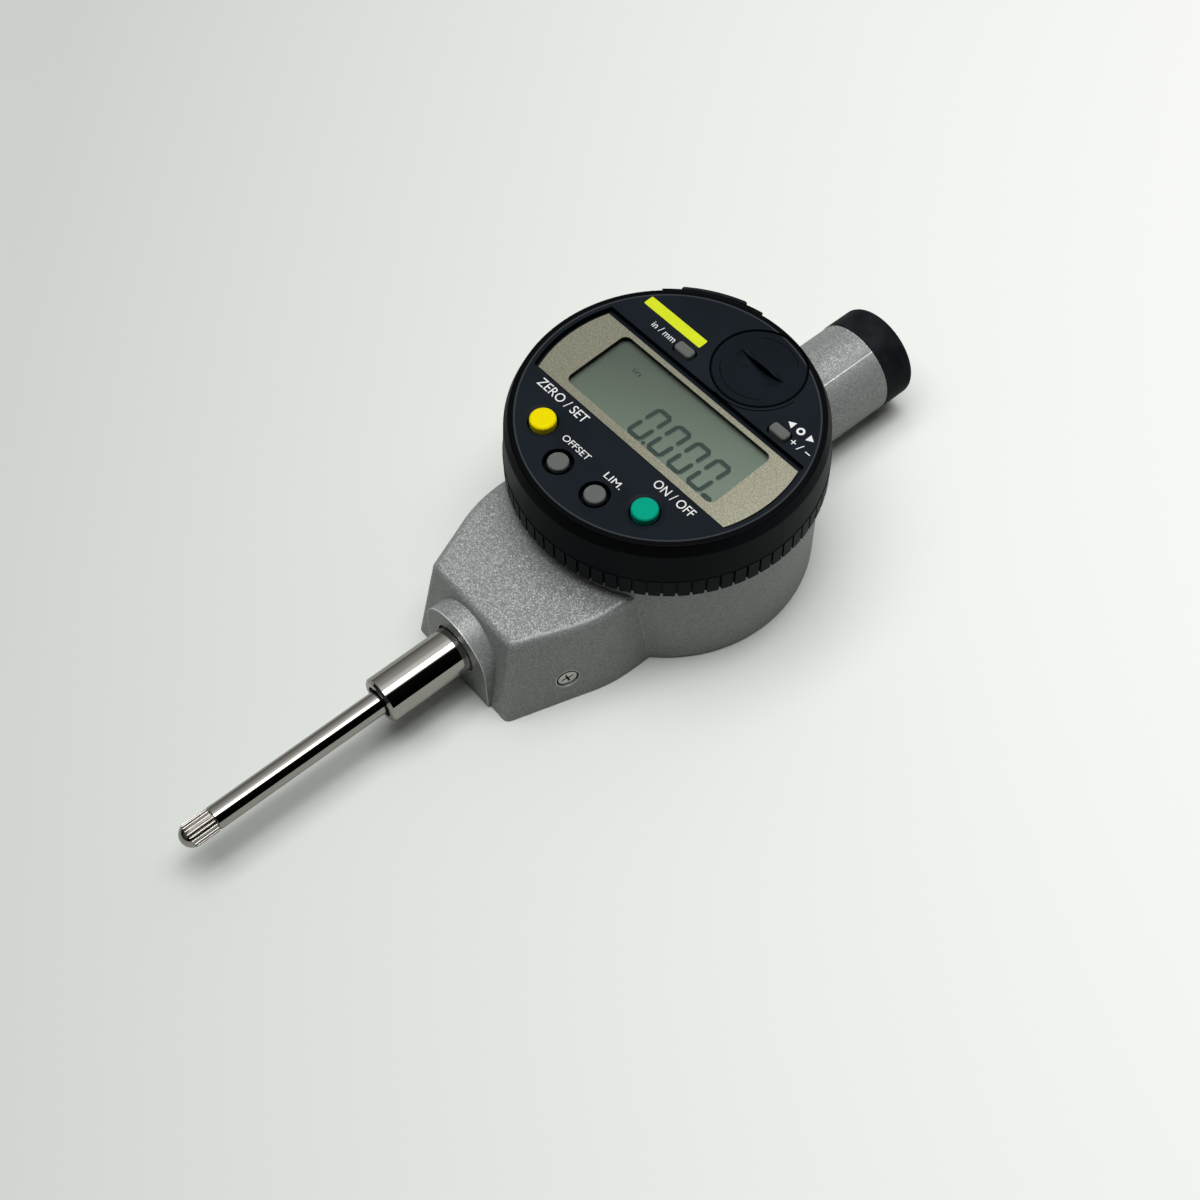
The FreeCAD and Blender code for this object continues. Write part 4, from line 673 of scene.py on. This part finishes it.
def make_reading(name, tone, step, rise):
    """The figures 0.000 with the short dash behind them, leaning about their foot."""
    bm = bmesh.new()
    for i in range(FIGURE_COUNT):
        add_nought(bm, FIGURE_FIRST + i * FIGURE_PITCH)
    dot = FIGURE_FIRST + (FIGURE_W + FIGURE_PITCH - DOT_LENGTH) / 2
    add_bar(bm, (dot, FIGURE_FOOT), (dot + DOT_LENGTH, FIGURE_FOOT), DOT_W)
    dash = FIGURE_FIRST + (FIGURE_COUNT - 1) * FIGURE_PITCH + FIGURE_W + BAR_W
    add_bar(bm, (dash, FIGURE_FOOT), (dash + DASH_LENGTH, FIGURE_FOOT), DASH_W)
    slant = Matrix.Identity(4)
    slant[0][1] = FIGURE_LEAN
    foot = Matrix.Translation((0, FIGURE_FOOT, 0))
    place = HEAD @ Matrix.Translation(step + Vector((0, 0, LCD_Z + rise)))
    bmesh.ops.transform(bm, matrix=place @ foot @ slant @ foot.inverted(), verts=bm.verts)
    reading = link_mesh(name, bm)
    reading.data.materials.append(figure_finish(name + "_tone", tone))
    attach(reading, "display_head")


def make_unit_mark():
    unit = cut_word("display_unit", "in", UNIT_CORNER, UNIT_SIZE, FIGURE_T,
                    figure_finish("unit_tone", UNIT_TONE))
    unit.data.transform(HEAD @ Matrix.Translation((0, 0, LCD_Z)))
    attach(unit, "display_head")


dress(display_film(), "lcd_panel")
# Painted shadow: a stepped copy of the figures, lying under them on the panel.
make_reading("display_shade", SHADE_TONE, SHADE_STEP, 0)
make_reading("display_reading", FIGURE_TONE, Vector(), FIGURE_T)
make_unit_mark()

# Window
# A clear acrylic sheet behind the plate. It lets the display through and only adds a
# thin gloss at a low angle, on its front face.
WINDOW_TINT = (0.97, 0.98, 0.97, 1)
WINDOW_ROUGHNESS = 0.03
WINDOW_IOR = 1.35


def clear_window():
    material, tree, shader, place = new_finish("clear_acrylic")
    clear = add_node(tree, "ShaderNodeBsdfTransparent", {"Color": WINDOW_TINT})
    gloss = add_node(tree, "ShaderNodeBsdfGlossy", {"Roughness": WINDOW_ROUGHNESS})
    edge = add_node(tree, "ShaderNodeFresnel", {"IOR": WINDOW_IOR}).outputs["Fac"]
    behind = tree.nodes.new("ShaderNodeNewGeometry").outputs["Backfacing"]
    share = calculate(tree, "MULTIPLY", edge, calculate(tree, "SUBTRACT", 1.0, behind))
    mix_shaders(tree, share, clear.outputs["BSDF"], gloss.outputs["BSDF"])
    tree.nodes.remove(shader)
    return material


dress(clear_window(), "window_lens")

# Buttons
# Silicone keys: a yellow one and a green one with rounded tops, and four grey ones.
# Their colour stops just under the face, and below it they are painted black as the shade inside
# the shell.
KEY_YELLOW = (0.76, 0.63, 0.0, 1)
KEY_GREEN = (0.0, 0.31, 0.195, 1)
KEY_GREY = (0.110, 0.122, 0.115, 1)
KEY_FLANGE_SHADE = (0.004, 0.004, 0.005, 1)
KEY_SKIN_SCALE = 700.0
KEY_ROUGHNESS = 0.45
KEY_WAVER = 0.04
KEY_GLOSS = 0.05
FACE_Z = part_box("battery_cap")[1].z
KEY_FOOT_Z = FACE_Z - 0.7 * MM


def key_silicone(name, tone):
    material = plain_finish(name, tone, KEY_ROUGHNESS, metal=0.0, cloud_scale=KEY_SKIN_SCALE,
                            waver=KEY_WAVER, gloss=KEY_GLOSS)
    tree = material.node_tree
    base = tree.nodes["Principled BSDF"].inputs["Base Color"]
    color = base.links[0].from_socket
    height = split_axes(tree, tree.nodes["Texture Coordinate"].outputs["Object"])["Z"]
    # Painted shade: below the key's foot height the colour is black.
    above = calculate(tree, "GREATER_THAN", height, KEY_FOOT_Z)
    feed(tree, base, mix_colors(tree, above, KEY_FLANGE_SHADE, color))
    return material


dress(key_silicone("yellow_silicone", KEY_YELLOW), "zero_button")
dress(key_silicone("green_silicone", KEY_GREEN), "power_button")
dress(key_silicone("grey_silicone", KEY_GREY), "preset_button", "limit_button", "unit_button",
      "sign_button")

# Coin cap
# Moulded in the shell's plastic. A dark seam parts it from the shell, a dark line of
# painted shadow runs round part of its seat, and two faint steps mark the cap inside its rim.
CAP_X = 4.15 * MM
CAP_Y = 19.95 * MM
SEAM_R = 9.3 * MM
SEAM_W = 0.34 * MM
SEAT_SHADOW_R = 10.15 * MM
SEAT_SHADOW_W = 0.22 * MM
SEAT_SHADOW_START, SEAT_SHADOW_SWEEP = -100, 95
STEP_R = 7.45 * MM
STEP_W = 0.16 * MM
LOW_START, LOW_SWEEP = -150, 105
HIGH_START, HIGH_SWEEP = 50, 80
LINE_T = 0.02 * MM
SEAM_TONE = (0.0012, 0.0014, 0.0018, 1)
STEP_TONE = (0.0030, 0.0040, 0.0055, 1)
WHOLE_TURN = 360
ARC_STEP = 4
LEAST_STEPS = 12


def add_arc(name, radius, width, start, sweep, tone, body):
    """A flat line along an arc about the cap's centre, between two directions."""
    bm = bmesh.new()
    size = Matrix.Diagonal((width, LINE_T, 1, 1))
    stand = Matrix.Rotation(math.radians(90), 4, "X")
    place = Matrix.Translation((radius, 0, LINE_T / 2))
    bmesh.ops.create_grid(bm, x_segments=1, y_segments=1, size=0.5, matrix=place @ stand @ size)
    bmesh.ops.rotate(bm, cent=(0, 0, 0), matrix=Matrix.Rotation(math.radians(start), 3, "Z"),
                     verts=bm.verts)
    whole = sweep >= WHOLE_TURN
    bmesh.ops.spin(bm, geom=bm.verts[:] + bm.edges[:] + bm.faces[:], cent=(0, 0, 0),
                   axis=(0, 0, 1), angle=math.radians(sweep),
                   steps=max(LEAST_STEPS, sweep // ARC_STEP), use_merge=whole)
    if whole:
        inner = [f for f in bm.faces if abs(f.normal.z) < 0.1 and len(f.edges) == 4
                 and all(len(e.link_faces) > 2 for e in f.edges)]
        bmesh.ops.delete(bm, geom=inner, context="FACES_ONLY")
    bmesh.ops.recalc_face_normals(bm, faces=bm.faces)
    bmesh.ops.transform(bm, matrix=HEAD @ Matrix.Translation((CAP_X, CAP_Y, FACE_Z)),
                        verts=bm.verts)
    line = link_mesh(name, bm)
    finish = plain_finish(name + "_line", tone, roughness=0.6, metal=0.0, cloud_scale=300.0,
                          waver=0.1, gloss=0.0)
    line.data.materials.append(finish)
    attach(line, body)


add_arc("cap_seam", SEAM_R, SEAM_W, 0, WHOLE_TURN, SEAM_TONE, "display_head")
# Painted shadow along part of the cap's seat.
add_arc("cap_seat_shadow", SEAT_SHADOW_R, SEAT_SHADOW_W, SEAT_SHADOW_START, SEAT_SHADOW_SWEEP, SEAM_TONE, "display_head")
add_arc("cap_step_low", STEP_R, STEP_W, LOW_START, LOW_SWEEP, STEP_TONE, "battery_cap")
add_arc("cap_step_high", STEP_R, STEP_W, HIGH_START, HIGH_SWEEP, STEP_TONE, "battery_cap")

# Legends
# White ink printed on the face beside each key, and a bare yellow green bar above the
# window. The words are plain names of the keys' work.
INK_T = 0.03 * MM
INK_WHITE = (0.74, 0.75, 0.74, 1)
INK_ROUGHNESS = 0.5
BAR_TONE = (0.60, 0.68, 0.02, 1)
BAR_LEFT, BAR_RIGHT = -22.5 * MM, -7.1 * MM
BAR_LOW, BAR_HIGH = 15.0 * MM, 17.3 * MM
BAR_CORNER = 0.3 * MM
ARROW_LEFT_X = 17.75 * MM
ARROW_RIGHT_X = 22.4 * MM
ARROW_R = 0.95 * MM
MARK_Y = 15.05 * MM
RING_X = 20.0 * MM
RING_R = 0.85 * MM
RING_W = 0.42 * MM
# Each word's piece and letters, then its left and right ends, its foot and its height
# in millimetres on the face.
WORDS = [
    ("legend_zero", "ZERO / SET", -22.0, -8.9, -13.3, 2.0),
    ("legend_offset", "OFFSET", -9.1, -2.1, -18.5, 1.4),
    ("legend_limit", "LIM.", 2.5, 6.8, -18.6, 1.45),
    ("legend_on_off", "ON / OFF", 10.0, 20.0, -13.4, 1.9),
    ("legend_unit", "in / mm", -17.5, -11.5, 12.1, 1.5),
    ("legend_plus", "+", 20.2, 21.4, 11.7, 1.2),
    ("legend_stroke", "/", 22.1, 22.9, 11.5, 1.6),
    ("legend_minus", "-", 23.8, 25.0, 12.2, 0.22),
]
white_ink = plain_finish("white_ink", INK_WHITE, INK_ROUGHNESS, metal=0.0, cloud_scale=900.0,
                         waver=0.03, gloss=0.1)


def print_piece(piece):
    """Gives a printed mark its place on the turned head and its riding body."""
    piece.data.transform(HEAD @ Matrix.Translation((0, 0, FACE_Z)))
    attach(piece, "display_head")


def print_word(name, text, left, right, foot, height):
    """Prints a word on the face, its letters as high as asked and its ends as given."""
    size = ((right - left) * MM, height * MM)
    word = cut_word(name, text, (left * MM, foot * MM), size, INK_T, white_ink)
    print_piece(word)


def print_bar(name, left, right, low, high):
    """A plain coloured bar with rounded corners."""
    bm = bmesh.new()
    size = Matrix.Diagonal((right - left, high - low, INK_T, 1))
    middle = Matrix.Translation(((left + right) / 2, (low + high) / 2, INK_T / 2))
    bmesh.ops.create_cube(bm, size=1, matrix=middle @ size)
    upright = [e for e in bm.edges if abs(e.verts[0].co.z - e.verts[1].co.z) > INK_T / 2]
    bmesh.ops.bevel(bm, geom=upright, offset=BAR_CORNER, offset_type="OFFSET", segments=4,
                    profile=0.5, affect="EDGES", material=-1)
    bar = link_mesh(name, bm)
    ink = plain_finish(name + "_ink", BAR_TONE, INK_ROUGHNESS, metal=0.0, cloud_scale=600.0,
                       waver=0.04, gloss=0.05)
    bar.data.materials.append(ink)
    print_piece(bar)


def print_arrow(name, x, turn):
    """A solid triangle that points along its turn."""
    bm = bmesh.new()
    place = Matrix.Translation((x, MARK_Y, INK_T / 2)) @ Matrix.Rotation(turn, 4, "Z")
    bmesh.ops.create_cone(bm, cap_ends=True, segments=3, radius1=ARROW_R, radius2=ARROW_R,
                          depth=INK_T, matrix=place @ Matrix.Rotation(math.radians(-90), 4, "Z"))
    arrow = link_mesh(name, bm)
    arrow.data.materials.append(white_ink)
    print_piece(arrow)


def print_ring(name):
    """A flat ring between the arrows."""
    bm = bmesh.new()
    bmesh.ops.create_circle(bm, cap_ends=True, radius=RING_R, segments=32,
                            matrix=Matrix.Translation((RING_X, MARK_Y, INK_T)))
    bmesh.ops.inset_region(bm, faces=bm.faces[:], thickness=RING_W, use_boundary=True,
                           use_even_offset=True)
    middle = [f for f in bm.faces if len(f.verts) > 4]
    bmesh.ops.delete(bm, geom=middle, context="FACES")
    bmesh.ops.solidify(bm, geom=bm.faces[:], thickness=INK_T)
    bmesh.ops.recalc_face_normals(bm, faces=bm.faces)
    ring = link_mesh(name, bm)
    ring.data.materials.append(white_ink)
    print_piece(ring)


for word in WORDS:
    print_word(*word)
print_arrow("mark_left", ARROW_LEFT_X, math.radians(180))
print_arrow("mark_right", ARROW_RIGHT_X, 0)
print_ring("mark_ring")
print_bar("coloured_bar", BAR_LEFT, BAR_RIGHT, BAR_LOW, BAR_HIGH)

# Screws
# Plated steel. The one in the flank is bright nickel and the others are zinc, and the
# recesses of all are darkened with painted shade.
NICKEL = (0.95, 0.93, 0.87, 1)
NICKEL_METAL = 0.1
ZINC = (0.66, 0.655, 0.62, 1)
ZINC_METAL = 0.6
RECESS_SHADE_REACH = 0.9 * MM
RECESS_SHADE_SHARES = [(0.70, 0.01), (0.93, 1)]


def screw_finish(name, tone, metal):
    material = plain_finish(name, tone, roughness=0.3, metal=metal, cloud_scale=900.0, waver=0.08)
    tree = material.node_tree
    base = tree.nodes["Principled BSDF"].inputs["Base Color"]
    bright = base.links[0].from_socket
    # Painted shade: the recesses darken where little of the sky is open.
    sky = add_node(tree, "ShaderNodeAmbientOcclusion", {"Distance": RECESS_SHADE_REACH}, samples=8)
    recess_shade = grey_ramp(tree, sky.outputs["AO"], RECESS_SHADE_SHARES)
    feed(tree, base, mix_colors(tree, 1.0, bright, recess_shade, "MULTIPLY"))
    return material


dress(screw_finish("bright_nickel", NICKEL, NICKEL_METAL), "side_screw")
dress(screw_finish("bright_zinc", ZINC, ZINC_METAL), "rear_cover_screws", "guide_rail_screws",
      "reader_board_screws", "retaining_plate_screws", "carrier_clamp_screw", "bezel_screws",
      "main_board_screws")

# Boards, bearings and other inner pieces
# What the closed housing hides: green boards, black moulded parts, steel and bronze
# turned parts, and the film strip that joins the boards. Each line has the finish's
# name, tone, roughness, metal, cloud scale and waver, and then its pieces.
INNER_FINISHES = [
    ("green_board", (0.02, 0.13, 0.05, 1), 0.4, 0.0, 400.0, 0.1,
     ["reader_board", "main_board"]),
    ("black_moulding", (0.02, 0.02, 0.021, 1), 0.5, 0.0, 500.0, 0.1,
     ["reader_head", "display_chip", "key_switches", "lcd_holder", "output_socket"]),
    ("plain_steel", (0.5, 0.5, 0.49, 1), 0.32, 1.0, 700.0, 0.08,
     ["spring_anchor", "return_spring", "retaining_plate", "friction_washer", "guide_pin",
      "spindle_stop_ring", "turn_stop_pin", "battery", "guide_rail"]),
    ("turned_bronze", (0.45, 0.28, 0.12, 1), 0.35, 1.0, 700.0, 0.08,
     ["lower_bush", "upper_bush"]),
    ("milled_alloy", (0.6, 0.6, 0.61, 1), 0.38, 1.0, 700.0, 0.06,
     ["scale_carrier"]),
    ("etched_glass", (0.3, 0.38, 0.38, 1), 0.2, 0.0, 300.0, 0.05,
     ["encoder_scale"]),
    ("amber_film", (0.4, 0.17, 0.03, 1), 0.35, 0.0, 300.0, 0.08,
     ["flex_strip"]),
    ("plated_contact", (0.65, 0.52, 0.2, 1), 0.3, 1.0, 700.0, 0.06,
     ["battery_minus_contact", "battery_plus_contact"]),
]
for *finish, pieces in INNER_FINISHES:
    dress(plain_finish(*finish), *pieces)
